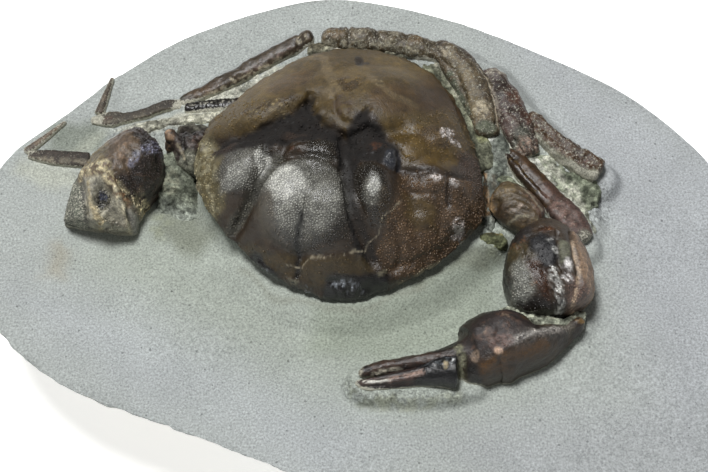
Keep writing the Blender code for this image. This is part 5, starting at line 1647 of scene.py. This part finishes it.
            Coat("#a5a39b", (Patch(((-63.6, 2.4), (-58.6, 4.4), (-58.4, -1), (-61, -3.4)), 0.8),), 0.85,
                rough=0.45, broken=1.6, share=0.7),
            Coat("#bdb59a", (Stroke(0.6, ((-66.4, 5.6), (-64.6, 1.6), (-62.6, -2)), 0.5),), 0.85,
                rough=0.6, broken=1, share=0.75),
            Coat("#5a3a26", (Patch(((-67, -2), (-61, -2), (-60, -12), (-73, -12)), 1),), 0.8,
                rough=0.5, broken=1.8, share=0.75),
            Coat("#a39572", (Stroke(0.5, ((-73.4, 7), (-72.6, 2), (-70, -2), (-66, -3)), 0.5),), 0.8,
                broken=0.8, share=0.65),
            Coat("#50564a", (Patch(((-83, 14), (-77.2, 12), (-75.2, 6), (-74, -2), (-75, -12),
                (-86, -12)), 0.9),), 0.9, rough=0.7, dust=0.4),
            Coat("#1d1b17", (Stroke(0.5, ((-78, 13), (-80.6, 6), (-81, -2)), 0.5),
                Spot(-75.6, -2, 2.4, 1.8), Stroke(0.5, ((-75.6, 10), (-75, 3), (-73.6, -4)), 0.6)),
                0.8),
        ),
        (
            *furrows(
                (1.4, 0.9, ((-77, 11), (-75.2, 6.4), (-74.4, 1), (-73.6, -6))),
                (-0.9, 0.9, ((-75, 11.6), (-72.4, 10.4), (-69.4, 9.6), (-66.8, 6.8), (-63.6, 4),
                    (-60.6, 4.4), (-57.6, 7))),
                (-1, 0.8, ((-66, 5), (-64.4, 1.4), (-62.6, -2.6))),
                (-0.9, 0.8, ((-73.2, 7), (-72.4, 2), (-70, -2), (-66, -3))),
                (0.8, 0.8, ((-61, 23), (-56.6, 20), (-55.6, 15))),
                (0.6, 0.7, ((-63.4, 12), (-61.8, 8.6), (-60, 6.4))),
            ),
            *lumps((-69.6, 3.4, 2.6, 3.6, -1.9, -10, 0.9), (-60.6, 0.4, 2.4, 3.2, 1),
                (-58.6, 15, 4, 6, 0.7, -30), (-70, 12, 4, 3, 0.8), (-66, -4, 3, 2.6, 1),
                (-57.4, 21, 2.6, 2.6, 0.6), (-63.4, 1.4, 1, 3, -1, 10)),
        ),
        uneven=(2.8, 0.55), grains=(0.6, 0.3, 0.55), step=0.34, wear=0.6, dust=0.1, fine=0.14,
        druse=(Spot(-69.6, 3, 1.8, 2.6, -10), Spot(-69, -2, 3, 1.6)),
    ),
)


def crust(name: str, colour: str, stations: Line, uneven: tuple[float, float] = (3.4, 0.9),
          dust: float = 0.0, coats: tuple[Coat, ...] = ()) -> Limb:
    """A strip of rough stone left between the legs, as wide and thick as its stations say."""
    return Limb(name, stations, (2.2, 2.2), Slot.MATRIX, colour, coats, (), 0.92, uneven, 0.34,
        wear=0.8, dust=dust, warp=0.8, square=2.8, plate=False)


CRUSTS = (
    crust(
        "crust_left_rear", "#7d7f6c",
        ((13.4, 51.2, 8.6, 2.2, 4.4), (18.8, 47.6, 8.4, 2.8, 4.6), (23.6, 42.4, 8.2, 3, 4.6),
            (27, 35.6, 7.6, 3, 4.5), (29.6, 28.6, 7, 3, 4.4), (31.8, 22, 6, 2.8, 4.4),
            (33.2, 16, 5, 2.4, 4.2)),
        coats=(
            Coat("#c2bfae", (Stroke(1, ((14, 52), (19, 48.8), (23.4, 43), (25.6, 38)), 0.9),), 0.8,
                broken=1.6, share=0.6),
            # Painted shadow in the groove beside the carapace's margin
            Coat("#4a4c40", (Stroke(0.9, ((23, 37), (26, 31), (28.6, 24)), 1),), 0.8),
            Coat("#a9ab7f", (Spot(32, 25.6, 2, 2.4),), 0.7, broken=1.4, share=0.7),
        ),
    ),
    crust(
        "crust_left_joint", "#8b9087",
        ((35.6, 33, 5.6, 1.8, 4.2), (35, 28, 5.2, 3.6, 4.4), (36, 22.6, 4.4, 4.6, 4.4),
            (35.6, 16.4, 3.8, 3.6, 4.2), (34.6, 10.6, 3.6, 2.8, 4), (33.8, 5, 3.2, 2, 4.2),
            (33.4, 0.4, 2.8, 1.6, 4.2), (33, -3, 2.4, 1.4, 4)),
        coats=(
            Coat("#cfd0ca", (Stroke(0.9, ((37, 33), (35.6, 28.6), (32.4, 23), (31.4, 19)), 0.9),), 0.85,
                broken=1.4, share=0.7),
            Coat("#50554d", (Spot(37.4, 24, 2, 3, 20), Spot(36.4, 16, 1.4, 3)), 0.75),
            Coat("#b48f66", (Stroke(0.8, ((32, 17), (32.4, 10), (32.6, 3)), 0.6),), 0.85, broken=1,
                share=0.7),
            Coat("#4d4030", (Stroke(0.9, ((34.4, 14), (34.4, 8), (34.4, 2)), 0.7),), 0.7, broken=1.2,
                share=0.7),
        ),
    ),
    crust(
        "crust_left_ridge", "#a9ab9c",
        ((38.6, 27, 4.8, 1.8, 4), (42.6, 22.6, 4, 2.4, 3.8), (46.6, 18.8, 3, 2.8, 3.6),
            (51, 13.8, 2.2, 2.8, 3.6), (55.4, 8.4, 1.4, 2.6, 3.4), (59, 3.4, 0.8, 2, 3),
            (61, -1.6, 0.2, 1.4, 2.4)),
        uneven=(2, 0.8),
        coats=(
            Coat("#d9dad0", (Stroke(0.8, ((40, 25), (47, 19), (54, 10.4), (60, 0)), 0.9),), 0.8,
                broken=1, share=0.6),
            Coat("#6f7768", (Spot(41, 25, 2, 2.4), Spot(52, 14, 1.6, 2.4, 40)), 0.7, broken=1.2),
        ),
    ),
    crust(
        "crust_left_shin", "#8b917e",
        ((46.6, 24, 3, 2.4, 3.6), (50.6, 18.6, 2.4, 4, 3.8), (55, 14.4, 1.8, 5.2, 3.8),
            (60, 12.2, 1.2, 5.4, 3.6), (64.4, 12, 0.6, 4.2, 3)),
        uneven=(2.4, 0.9),
        coats=(
            Coat("#ccccbd", (Stroke(1.4, ((46.6, 23.6), (51, 18), (56, 11.6), (59, 6)), 1.4),), 0.8,
                broken=1.1, share=0.62),
            Coat("#5f6655", (Spot(62.4, 11, 4, 3, 10), Spot(57, 16, 4, 1.4, -30)), 0.7, broken=1,
                share=0.6),
        ),
    ),
    crust(
        "crust_left_arm", "#7f8470",
        ((34.4, 14, 4.6, 1.6, 3.8), (38.6, 12.6, 4, 2, 3.6), (42.6, 8.4, 3.4, 1.6, 3.6),
            (46, 3.6, 2.8, 1.4, 3.6), (49, -0.6, 2.4, 1, 3.4)),
        uneven=(2.6, 0.6),
        coats=(
            Coat("#bdbcaa", (Stroke(0.5, ((38.6, 12), (42.6, 7.6), (46, 2.6)), 0.5),), 0.8, broken=1.2,
                share=0.7),
        ),
    ),
    crust(
        "crust_left_corner", "#5c5f46",
        ((29.6, -5.6, 2, 1.6, 3.4), (32.4, -4.4, 2.8, 2.2, 4), (35.4, -4.8, 3, 2.2, 4.2),
            (38, -6.6, 3, 1.4, 4)),
        uneven=(1.8, 0.5),
        coats=(
            Coat("#a58f5c", (Stroke(0.6, ((31, -2.4), (34, -2.6), (37, -3)), 0.6),), 0.6, broken=0.8,
                share=0.45),
            Coat("#2c2a20", (Spot(33.4, -3, 1.4, 1.4),), 0.7),
        ),
    ),
    crust(
        "crust_tail", "#8c8a78",
        ((-16, 52.8, 8.6, 1.8, 4.6), (-10, 53, 9.4, 2, 4.8), (-2, 53, 9.6, 2, 4.8),
            (6, 52.2, 9.6, 2, 4.8), (13, 50.6, 9.4, 2, 4.6)),
        uneven=(1.8, 0.4),
        coats=(
            Coat("#d0cdbd", (Stroke(0.5, ((-9, 51.8), (-4, 52.2)), 0.5),
                Spot(8, 52.6, 4, 1.4, -10)), 0.85, broken=1.6, share=0.7),
            Coat("#4f4838", (Spot(-13, 53, 2, 1.2), Spot(2, 53, 1.4, 1.2)), 0.7),
        ),
    ),
    crust(
        "crust_right_rear", "#bdbfb1",
        ((-49.6, 38.4, 0.6, 1.2, 2.4), (-44, 40.4, 1.2, 2, 3), (-38.6, 42.2, 2, 3, 3.6),
            (-32.6, 44.6, 3, 3.6, 4), (-27, 48.8, 4.4, 3, 4.4), (-22, 52.6, 5.4, 2.4, 4.4),
            (-17.6, 54.6, 6.4, 1.8, 4.4)),
        uneven=(3.2, 0.8),
        coats=(
            Coat("#d6d5c7", (Stroke(1, ((-47, 40), (-38, 41.4), (-30, 45.6)), 1.2),), 0.7, broken=1.8,
                share=0.6),
            Coat("#5f5f50", (Spot(-20.6, 54.6, 1.6, 1), Spot(-36, 45.6, 3, 0.8, 30)), 0.7, broken=1.4),
        ),
    ),
    crust(
        "crust_right_band", "#b9b8a6",
        ((-68, 30.6, 0.2, 1, 2.2), (-62.6, 32.4, 1, 1.6, 3), (-56, 33.4, 1.8, 1.8, 3.4),
            (-49.6, 34, 2.4, 1.6, 3.6), (-43, 34.2, 3.2, 1.6, 4), (-36.6, 34, 4, 2, 4.2)),
        uneven=(2.6, 0.6),
        coats=(
            Coat("#dcdac9", (Stroke(0.7, ((-66, 31.4), (-57, 33), (-47, 33.6),
                (-38, 33.6)), 0.7),), 0.7, broken=1.6, share=0.6),
            Coat("#6b6a5c", (Stroke(0.4, ((-60, 34.6), (-50, 35.2), (-42, 35.6)), 0.5),), 0.7),
        ),
    ),
    crust(
        "crust_right_arm", "#66645a",
        ((-52, 28, 5.4, 1.4, 4), (-47.6, 28.4, 6, 2, 4.2), (-43, 26.6, 6.4, 2.4, 4.4),
            (-39.6, 24.6, 6.6, 1.6, 4.4)),
        uneven=(1.8, 0.5),
        coats=(
            Coat("#2c2522", (Spot(-49, 28, 2, 1.4), Spot(-43.6, 27, 1.6, 1.2)), 0.8),
        ),
    ),
    crust(
        "crust_right_wedge", "#7b8071",
        ((-53, 22.6, 4.4, 2.6, 6), (-52.2, 18.4, 3.6, 4.2, 6), (-50.8, 13.4, 1.2, 5.8, 5),
            (-50, 9.6, -0.6, 7.2, 3.2), (-50.4, 6.6, -2.2, 6.6, 2.6), (-51, 3.8, -3.2, 5, 2.4)),
        uneven=(3, 0.9),
        coats=(
            # Painted shade along the wedge's side next to the carapace and across its middle
            Coat("#494c3f", (Stroke(1.2, ((-47.6, 18), (-46.4, 13), (-45, 8)), 1.2),
                Stroke(0.8, ((-57, 8.6), (-52, 8), (-46, 7.6)), 1.4)), 0.7, broken=1.6),
            Coat("#a3a48f", (Spot(-53, 13, 2.4, 2.8),), 0.7, broken=1.4, share=0.7),
            Coat("#a0a69c", (Patch(((-60, 8), (-54, 8.6), (-48, 7.6), (-42, 8.6), (-42, 0),
                (-60, 0)), 2.4),), 0.85),
        ),
    ),
    crust(
        "crust_hand_back", "#a4a896",
        ((35, -25.4, 1, 1.8, 3.2), (40, -27.2, 2.6, 2.6, 5), (46, -29.2, 3, 2.4, 5.2),
            (51, -29.8, 2.6, 1.8, 4.6), (55, -27.6, 1.8, 2.2, 4), (57, -25, 1, 1.4, 3.4)),
        uneven=(1.6, 0.35),
        coats=(
            Coat("#c6c4ae", (Spot(40, -26.6, 3, 1), Spot(48, -28.4, 3, 1, -10)), 0.6, broken=1.2),
            Coat("#7d7a66", (Spot(55, -28, 2, 1.4),), 0.8, broken=0.8),
        ),
    ),
)


# ---------------------------------------------------------------- the stone

# Rough stone between the carapace and the left legs
LEFT_ROUGH = Patch(((33, 31), (37, 30), (40, 22), (46, 14), (52, 6), (50, 3), (42, 8), (35, 14),
    (31, 22)), 1.5)


@dataclass(frozen=True)
class Nodule:
    """The lens-shaped stone that the crab lies on.

    Args:
        grid: points along each side of the face's grid.
        length, width, height: of the whole stone.
        face: how much of the outline the dressed face fills.
        side_lumps, side_chips: depth of the lumps and chips of the stone's side.
        waves, tool_marks, crust_height: height of the face's waves, of the tool marks round the
            shell and of the crusts.
        outline: its outline, anticlockwise from the right.
        profile: side and underside, as (share of the outline, depth under the face).
        leg_ridge, claw_ridge, ridge_margin, least_run, pedestal, fillet, swells: the ridges of
            stone under each piece; see the part's source.
        crust: where the stone was left rough.
        coats: what is laid over the bare stone.
    """

    grid: int = 258
    length: float = 216.0
    width: float = 166.0
    height: float = 34.0
    face: float = 0.992
    side_lumps: float = 1.6
    side_chips: float = 0.5
    waves: float = 0.28
    tool_marks: float = 0.3
    crust_height: float = 0.7
    outline: Line = ((106.5, 2), (95, 25), (75, 46), (48, 62), (20.5, 74), (-8, 80), (-30, 75.5),
        (-53, 65.3), (-71, 52), (-86, 38), (-100.5, 23.5), (-106.5, 4), (-103.5, -18), (-92, -34.5),
        (-75.5, -46.5), (-52, -56), (-24.5, -67.2), (8, -81), (42, -86), (75, -80), (99, -58),
        (109.5, -26))
    profile: Line = ((0.992, 0), (0.998, 0.7), (1.0, 1.8), (0.978, 4.6), (0.915, 11.5), (0.81, 20),
        (0.67, 28.2), (0.56, 32.4), (0.498, 33.7), (0.47, 34.0))
    leg_ridge: tuple[float, float, float] = (0.25, 0.8, 3.0)
    claw_ridge: tuple[float, float, float] = (0.8, 0.6, 2.2)
    ridge_margin: float = 0.7
    least_run: float = 0.95
    pedestal: tuple[float, float, float] = (0.62, 0.9, 0.14)
    fillet: int = 5
    swells: tuple = ((9, (-30, -12, 3.4, 2), (-20, -18.6, 3.6, 2), (-9, -21.8, 3.6, 2),
        (4, -20, 3.8, 2), (15, -15, 4.4, 2), (26, -7.4, 5, 2)), (5, (32, -4, 6.5, 2.5),
        (36, -2, 6, 2.5)), (5, (-22, 49, 8, 3), (-32, 44, 6, 3.5), (-42, 40.5, 4, 3),
        (-50, 39, 2.6, 2)), (4, (-37, 33.5, 6.5, 3), (-50, 32, 5, 3), (-62, 31, 3, 3),
        (-69, 27, 3, 2.5)), (4, (44, 28, 6, 2.5), (52, 18, 4.5, 3), (58, 12, 2.8, 2.5),
        (61, 2, 1.6, 1.5)), (2.5, (38, 18, 6, 1.6), (44, 10, 5.4, 1.6), (50, 2, 4.5, 1.4)), (3,
        (33.5, 27, 7, 2.5), (35.5, 20, 6, 2.5), (36, 12, 5.6, 2)), (2, (-1, -46.8, 3, 1.6),
        (8, -47.4, 3, 2.2), (20, -47, 3.2, 2.4), (28, -46.6, 3, 1.2)))
    crust: tuple[Patch | Spot | Stroke, ...] = (Patch(((-14, 51), (-30, 46.6), (-50, 41), (-52, 38.6),
        (-30, 40), (-20, 46)), 1.5), Patch(((-30, 37), (-50, 36.6), (-62, 35.6), (-72, 34), (-70, 28),
        (-52, 30), (-38, 32)), 1.5), Patch(((30, 30), (36, 31), (39, 23), (45, 15), (52, 6), (50, 2),
        (42, 8), (34, 14), (30.5, 22)), 1.5), Patch(((42, 25), (50, 19), (57, 11), (61, 0), (66, 4),
        (68, 14), (60, 17), (50, 24)), 2), Spot(34, -4, 4, 4), Stroke(1.8, ((-5, -44.6),
        (-3.6, -47.6), (0, -48.6), (10, -49), (24, -48.6)), 1), Stroke(1.6, ((36, -28.4), (42, -28.6),
        (50, -29.4), (56, -26)), 1))
    coats: tuple[Coat, ...] = (
        # Greenish where the mud lay thin over the crab, bluer out at the rim
        Coat("#a7afa0", (Spot(-6, -6, 70, 52),), 0.55),
        Coat("#b9bcc2", (Patch(((40, 70), (110, 20), (116, -40), (80, -60), (66, -20), (56, 30)),
            14),), 0.6),
        Coat("#adb0b3", (Patch(((20, -60), (70, -50), (110, -60), (60, -95)), 10),), 0.6),
        Coat("#bdc1c6", (Patch(((-95, -18), (-62, -48), (-10, -72), (12, -60), (-26, -40), (-60, -20)),
            12),), 0.55),
        Coat("#9aa392", (Patch(((0, -20), (26, -8), (36, -8), (35, -24), (24, -34), (4, -38),
            (-16, -34), (-14, -24)), 4),), 0.6),
        # Painted shadow on the stone between the right claw and the carapace, and beyond the carapace's
        # front right
        Coat("#7d8172", (Patch(((-54, 18), (-47, 12), (-40, -2), (-46, -6), (-58, 0)), 3),
            Patch(((27, -6), (35, -6), (34, -11), (24, -12), (12, -17), (14, -19)), 1.5)), 0.75),
        # Painted shade on the stone between the right thin legs
        Coat("#80877a", (Patch(((-88, 36), (-74, 37), (-72, 28), (-78, 25), (-90, 27)), 3),), 0.75,
            broken=8, share=0.8),
        Coat("#d2d1c1", (Stroke(1, ((-71, 27), (-68, 30), (-62, 33.4)), 0.8),), 0.8, broken=1.6,
            share=0.75),
        Coat("#c3c6b6", (Patch(((-80, 22), (-76, 12), (-84, 14), (-97, 20), (-96, 24)), 3),
            Patch(((-70, 34), (-84, 20), (-78, 30)), 3)), 0.6),
        Coat("#d2d1c1", (Patch(((-14, 51), (-30, 47), (-50, 41.4), (-52, 39), (-30, 40.4), (-20, 46)),
            1.2), Patch(((-30, 37), (-50, 36.4), (-62, 35.4), (-69, 33), (-62, 31), (-46, 32.4)), 1.2)),
            0.8, broken=2.6, share=0.75),
        Coat("#8d9282", (LEFT_ROUGH,), 0.7, broken=2.4, share=0.6),
        Coat("#c9ccc0", (LEFT_ROUGH,), 0.7, broken=1.6, share=0.45),
        Coat("#9ba08c", (Spot(34, -5, 4, 4), Patch(((-58, 8), (-52, 8), (-54, 0), (-60, 0)), 2)), 0.7,
            broken=2),
        Coat("#8b9080", (Stroke(1.3, ((-5, -45), (-3.6, -48), (0, -49.6), (6, -50)), 1),), 0.7,
            broken=1.4, share=0.5),
        Coat("#a9ad9a", (Stroke(1.2, ((4, -50), (14, -50.2), (24, -49.6)), 1),), 0.6, broken=1.4,
            share=0.6),
        Coat("#8f9184", (Stroke(0.7, ((-34, -12), (-24, -19.4), (-10, -24), (4, -22.4), (14, -18.6)),
            1.2),), 0.6),
        Coat("#d5d4c9", (Stroke(0.8, ((2.6, -43.4), (6, -43.2), (11, -43.4)), 0.6),), 0.9),
        Coat("#a4926f", (Patch(((-84, -2), (-80, -2), (-81, -14), (-86, -12)), 3),), 0.35,
            broken=6),
    )

    def reach(self, turn: Numbers) -> Numbers:
        """Where the stone's outline lies in each direction.

        Args:
            turn: directions from the stone's centre, in radians.

        Returns:
            How far the outline lies from the centre.
        """
        outline = curve_through(self.outline, 720, closed=True)
        low, high = outline.min(0), outline.max(0)
        outline = (outline - (low + high) / 2) * (self.length, self.width) / (high - low)
        angle = np.arctan2(outline[:, 1], outline[:, 0])
        order = np.argsort(angle)
        far = np.hypot(*outline.T)[order]
        return np.interp(turn, angle[order], far, period=2 * np.pi)

    def relief(self, x: Numbers, y: Numbers) -> Numbers:
        """Height of the ridges that the stone keeps under the crab.

        Args:
            x: places across.
            y: places along.

        Returns:
            Millimetres over the flat face.
        """
        turn = np.arctan2(y - CARAPACE_CENTRE[1], x - CARAPACE_CENTRE[0])
        reach, margin = carapace_margin(turn)
        share = np.hypot(x - CARAPACE_CENTRE[0], y - CARAPACE_CENTRE[1]) / reach
        high, where, slope = self.pedestal
        heights = [high * margin * smooth(1 - (share - where) / slope)]
        ridges = [(slope, line) for slope, *line in self.swells]
        for limb in LIMBS:
            seat, breadth, slope = self.claw_ridge if limb.slot is Slot.CLAW else self.leg_ridge
            line = [(sx, sy, z - seat * thick, breadth * wide + self.ridge_margin)
                for sx, sy, z, wide, thick in limb.stations]
            ridges.append((slope, line))
        for slope, line in ridges:
            distance, values = along_line(x, y, line)
            height, half_width = values[..., 0], values[..., 1]
            run = np.maximum(slope, height * self.least_run)
            heights.append(height * smooth(1 - (distance - half_width) / run))
        # The highest swell wins, with a soft fillet where two meet
        return (np.clip(heights, 0, None) ** self.fillet).sum(0) ** (1 / self.fillet)

    def build(self) -> Surface:
        """Shapes, roughens and paints the stone.

        Returns:
            The stone as a closed surface.
        """
        share, turn, quads, rim = disc_grid(self.grid)
        # Wider squares in the middle, which the crab covers
        share = share * (1.22 - 0.22 * share)
        reach = self.reach(turn)
        x, y = np.cos(turn) * reach * share * self.face, np.sin(turn) * reach * share * self.face
        x, y = x + ORIGIN[0], y + ORIGIN[1]
        top = np.stack([x, y, self.relief(x, y)], 1)
        rings = []
        outer = turn[rim]
        for part, depth in curve_through(self.profile, 28)[1:]:
            part = min(part, 1.0)
            along = np.stack([np.cos(outer), np.sin(outer)], 1) * self.reach(outer)[:, None]
            ring = np.column_stack([along * part + ORIGIN[:2], np.full(len(outer), -depth)])
            lumpy = smooth(depth / 6) * smooth((self.height - depth) / 3)
            chips = smooth(depth / 0.6) * smooth((9 - depth) / 6)
            inward = self.side_lumps * (1 + noise(ring, 16, 61, 4)) * lumpy
            inward += self.side_chips * (1 + noise(ring, 4, 62, 3)) * chips
            ring[:, :2] -= along / np.linalg.norm(along, axis=1, keepdims=True) * inward[:, None]
            rings.append(ring)
        stone = with_skirt(top, quads, rim, rings)
        self.weather(stone, len(top))
        stone.dress("#b4b9b6", rough=0.92, coats=self.coats, warp=2.0, seed=400)
        for area in self.crust:
            stone.grain = np.maximum(stone.grain, area.cover(*stone.points.T[:2]))
        self.skin(stone)
        return stone

    def weather(self, stone: Surface, face: int) -> None:
        """Roughens the dressed face: long waves, tool marks round the shell and rough crusts.

        Args:
            stone: the stone.
            face: how many of its points, from the first, are on the face.
        """
        points = stone.points[:face]
        x, y, _ = points.T
        height = self.waves * noise(points, 26, 71, 3) + 0.05 * noise(points, 2.6, 72, 2)
        crust = np.zeros(face)
        for area in self.crust:
            crust = np.maximum(crust, area.cover(x, y))
        height += crust * (self.crust_height * noise(points, 3.4, 73, 4) + 0.1)
        turn = np.arctan2(y - CARAPACE_CENTRE[1], x - CARAPACE_CENTRE[0])
        reach, _ = carapace_margin(turn)
        out = np.hypot(x - CARAPACE_CENTRE[0], y - CARAPACE_CENTRE[1]) - reach
        combed = np.stack([out / 1.5, turn * 40 / 14, np.zeros(face)], 1)
        near = smooth(out / 2) * smooth((26 - out) / 14)
        height += near * self.tool_marks * noise(combed, 1.0, 74, 3)
        x, y = x - ORIGIN[0], y - ORIGIN[1]
        edge = smooth((1 - np.hypot(x, y) / (self.reach(np.arctan2(y, x)) * self.face)) / 0.02)
        stone.points[:face, 2] += height * edge - 0.25 * (1 - edge)

    def skin(self, stone: Surface) -> None:
        """Lays the nodule's own weathered skin over its side and underside.

        Args:
            stone: the stone.
        """
        depth = -stone.points[:, 2]
        cover = smooth((depth - 0.8) / 1.6) * (0.75 + 0.25 * noise(stone.points, 5, 81, 3))
        brown = np.array(linear("#8d8468"))
        grey = np.array(linear("#8f938a"))
        tint = smooth(0.5 + noise(stone.points, 22, 82, 3))[:, None]
        colour = brown + tint * (grey - brown)
        stone.paint += np.clip(cover, 0, 1)[:, None] * (colour - stone.paint)

    def show(self, material: bpy.types.Material) -> None:
        """Builds the stone and hands it over."""
        settle(self.build().place("nodule", material), Slot.MATRIX, "stone")


# ---------------------------------------------------------------- the studio


@dataclass(frozen=True)
class Studio:
    """A white sweep, one soft light overhead and the camera.

    Args:
        target: what the camera looks at, in metres.
        distance: from the camera to it.
        elevation: of the camera, in degrees.
        lens: focal length on a 36 mm sensor.
        key: watts of the overhead light.
        key_size: width of its face.
        key_place: where it hangs.
        sky: strength of the white surroundings.
        glow: light that the floor is given from below.
    """

    target: tuple[float, float, float] = (-0.0045, 0.003, 0.034)
    distance: float = 0.5315
    elevation: float = 60.0
    lens: float = 100.0
    key: float = 26.0
    key_size: float = 0.5
    key_place: tuple[float, float, float] = (-0.34, 0.21, 1.7)
    sky: float = 0.2
    glow: float = 0.65

    def floor(self) -> None:
        """The pale floor."""
        mesh = bpy.data.meshes.new("sweep")
        half = 1.6
        corners = [(-half, -half, 0), (half, -half, 0), (half, half, 0), (-half, half, 0)]
        mesh.from_pydata(corners, [], [(0, 1, 2, 3)])
        material = bpy.data.materials.new("White paper, matt")
        material.use_nodes = True
        add = Tree(material.node_tree).add
        place = add("TexCoord").outputs["Object"]
        fibre = add("TexNoise", {"Vector": place, "Scale": 900.0})
        bump = add("Bump", {"Height": fibre, "Strength": 0.2, "Distance": 0.0001})
        shader = add("BsdfPrincipled", {"Base Color": (0.94, 0.94, 0.935, 1.0), "Roughness": 0.95,
            "Specular IOR Level": 0.1, "Normal": bump, "Emission Color": (1.0, 1.0, 1.0, 1.0),
            "Emission Strength": self.glow})
        add("OutputMaterial", {"Surface": shader})
        mesh.materials.append(material)
        sweep = bpy.data.objects.new("sweep", mesh)
        bpy.context.scene.collection.objects.link(sweep)

    def lights(self) -> None:
        """The white surroundings and the overhead light."""
        world = bpy.data.worlds.new("White surroundings")
        world.use_nodes = True
        add = Tree(world.node_tree).add
        # The far side of the room is dim, so the dark shell keeps its depth
        where = add("SeparateXYZ", {"Vector": add("TexCoord").outputs["Generated"]})
        level = add("MapRange", {"Value": where.outputs["Y"], "From Min": -0.1, "From Max": 0.45,
            "To Min": 0.8 * self.sky, "To Max": 0.25 * self.sky}, interpolation_type="SMOOTHSTEP")
        light = add("Background", {"Color": (1.0, 1.0, 1.0, 1.0), "Strength": level})
        add("OutputWorld", {"Surface": light})
        bpy.context.scene.world = world
        lamp = bpy.data.lights.new("Overhead softbox", "AREA")
        lamp.shape = "DISK"
        lamp.size = self.key_size
        lamp.energy = self.key
        holder = bpy.data.objects.new("Overhead softbox", lamp)
        holder.location = self.key_place
        aim = Vector((0, 0, 0.03)) - Vector(self.key_place)
        holder.rotation_euler = aim.to_track_quat("-Z", "Y").to_euler()
        bpy.context.scene.collection.objects.link(holder)

    def camera(self) -> None:
        """The camera, in front of the crab and above it."""
        data = bpy.data.cameras.new("Camera")
        data.lens = self.lens
        data.sensor_width = 36.0
        data.clip_start = 0.01
        holder = bpy.data.objects.new("Camera", data)
        rise = math.radians(self.elevation)
        away = Vector((0, -math.cos(rise), math.sin(rise)))
        holder.location = Vector(self.target) + self.distance * away
        holder.rotation_euler = (-away).to_track_quat("-Z", "Y").to_euler()
        bpy.context.scene.collection.objects.link(holder)
        bpy.context.scene.camera = holder

    def show(self) -> None:
        """Sets the studio up."""
        self.floor()
        self.lights()
        self.camera()
        bpy.context.scene.view_settings.view_transform = "Standard"


def main() -> None:
    """Builds every piece."""
    logging.basicConfig(level=logging.INFO, format="%(name)s: %(message)s")
    Studio().show()
    granules, crystals = Scatter(Bit.GRANULE), Scatter(Bit.CRYSTAL)
    stone = SiltstoneFinish("Siltstone, ground and air-abraded").build()
    Nodule().show(stone)
    Carapace().show(ShellFinish("Fossil carapace, calcite with clear consolidant", shine=0.52,
        grit=0.3).build(), granules)
    finishes = {
        Slot.MATRIX: stone,
        Slot.CLAW: ShellFinish("Fossil claw shell, calcite with clear consolidant", mottle=1.3,
            contrast=0.42).build(),
        Slot.LEG: ShellFinish("Fossil leg shell, calcite", mottle=1.1, contrast=0.4, shine=0.45,
            bump=0.07).build(),
    }
    for limb in (*LIMBS, *CRUSTS):
        limb.show(finishes[limb.slot], granules, crystals)


if __name__ == "__main__":
    main()
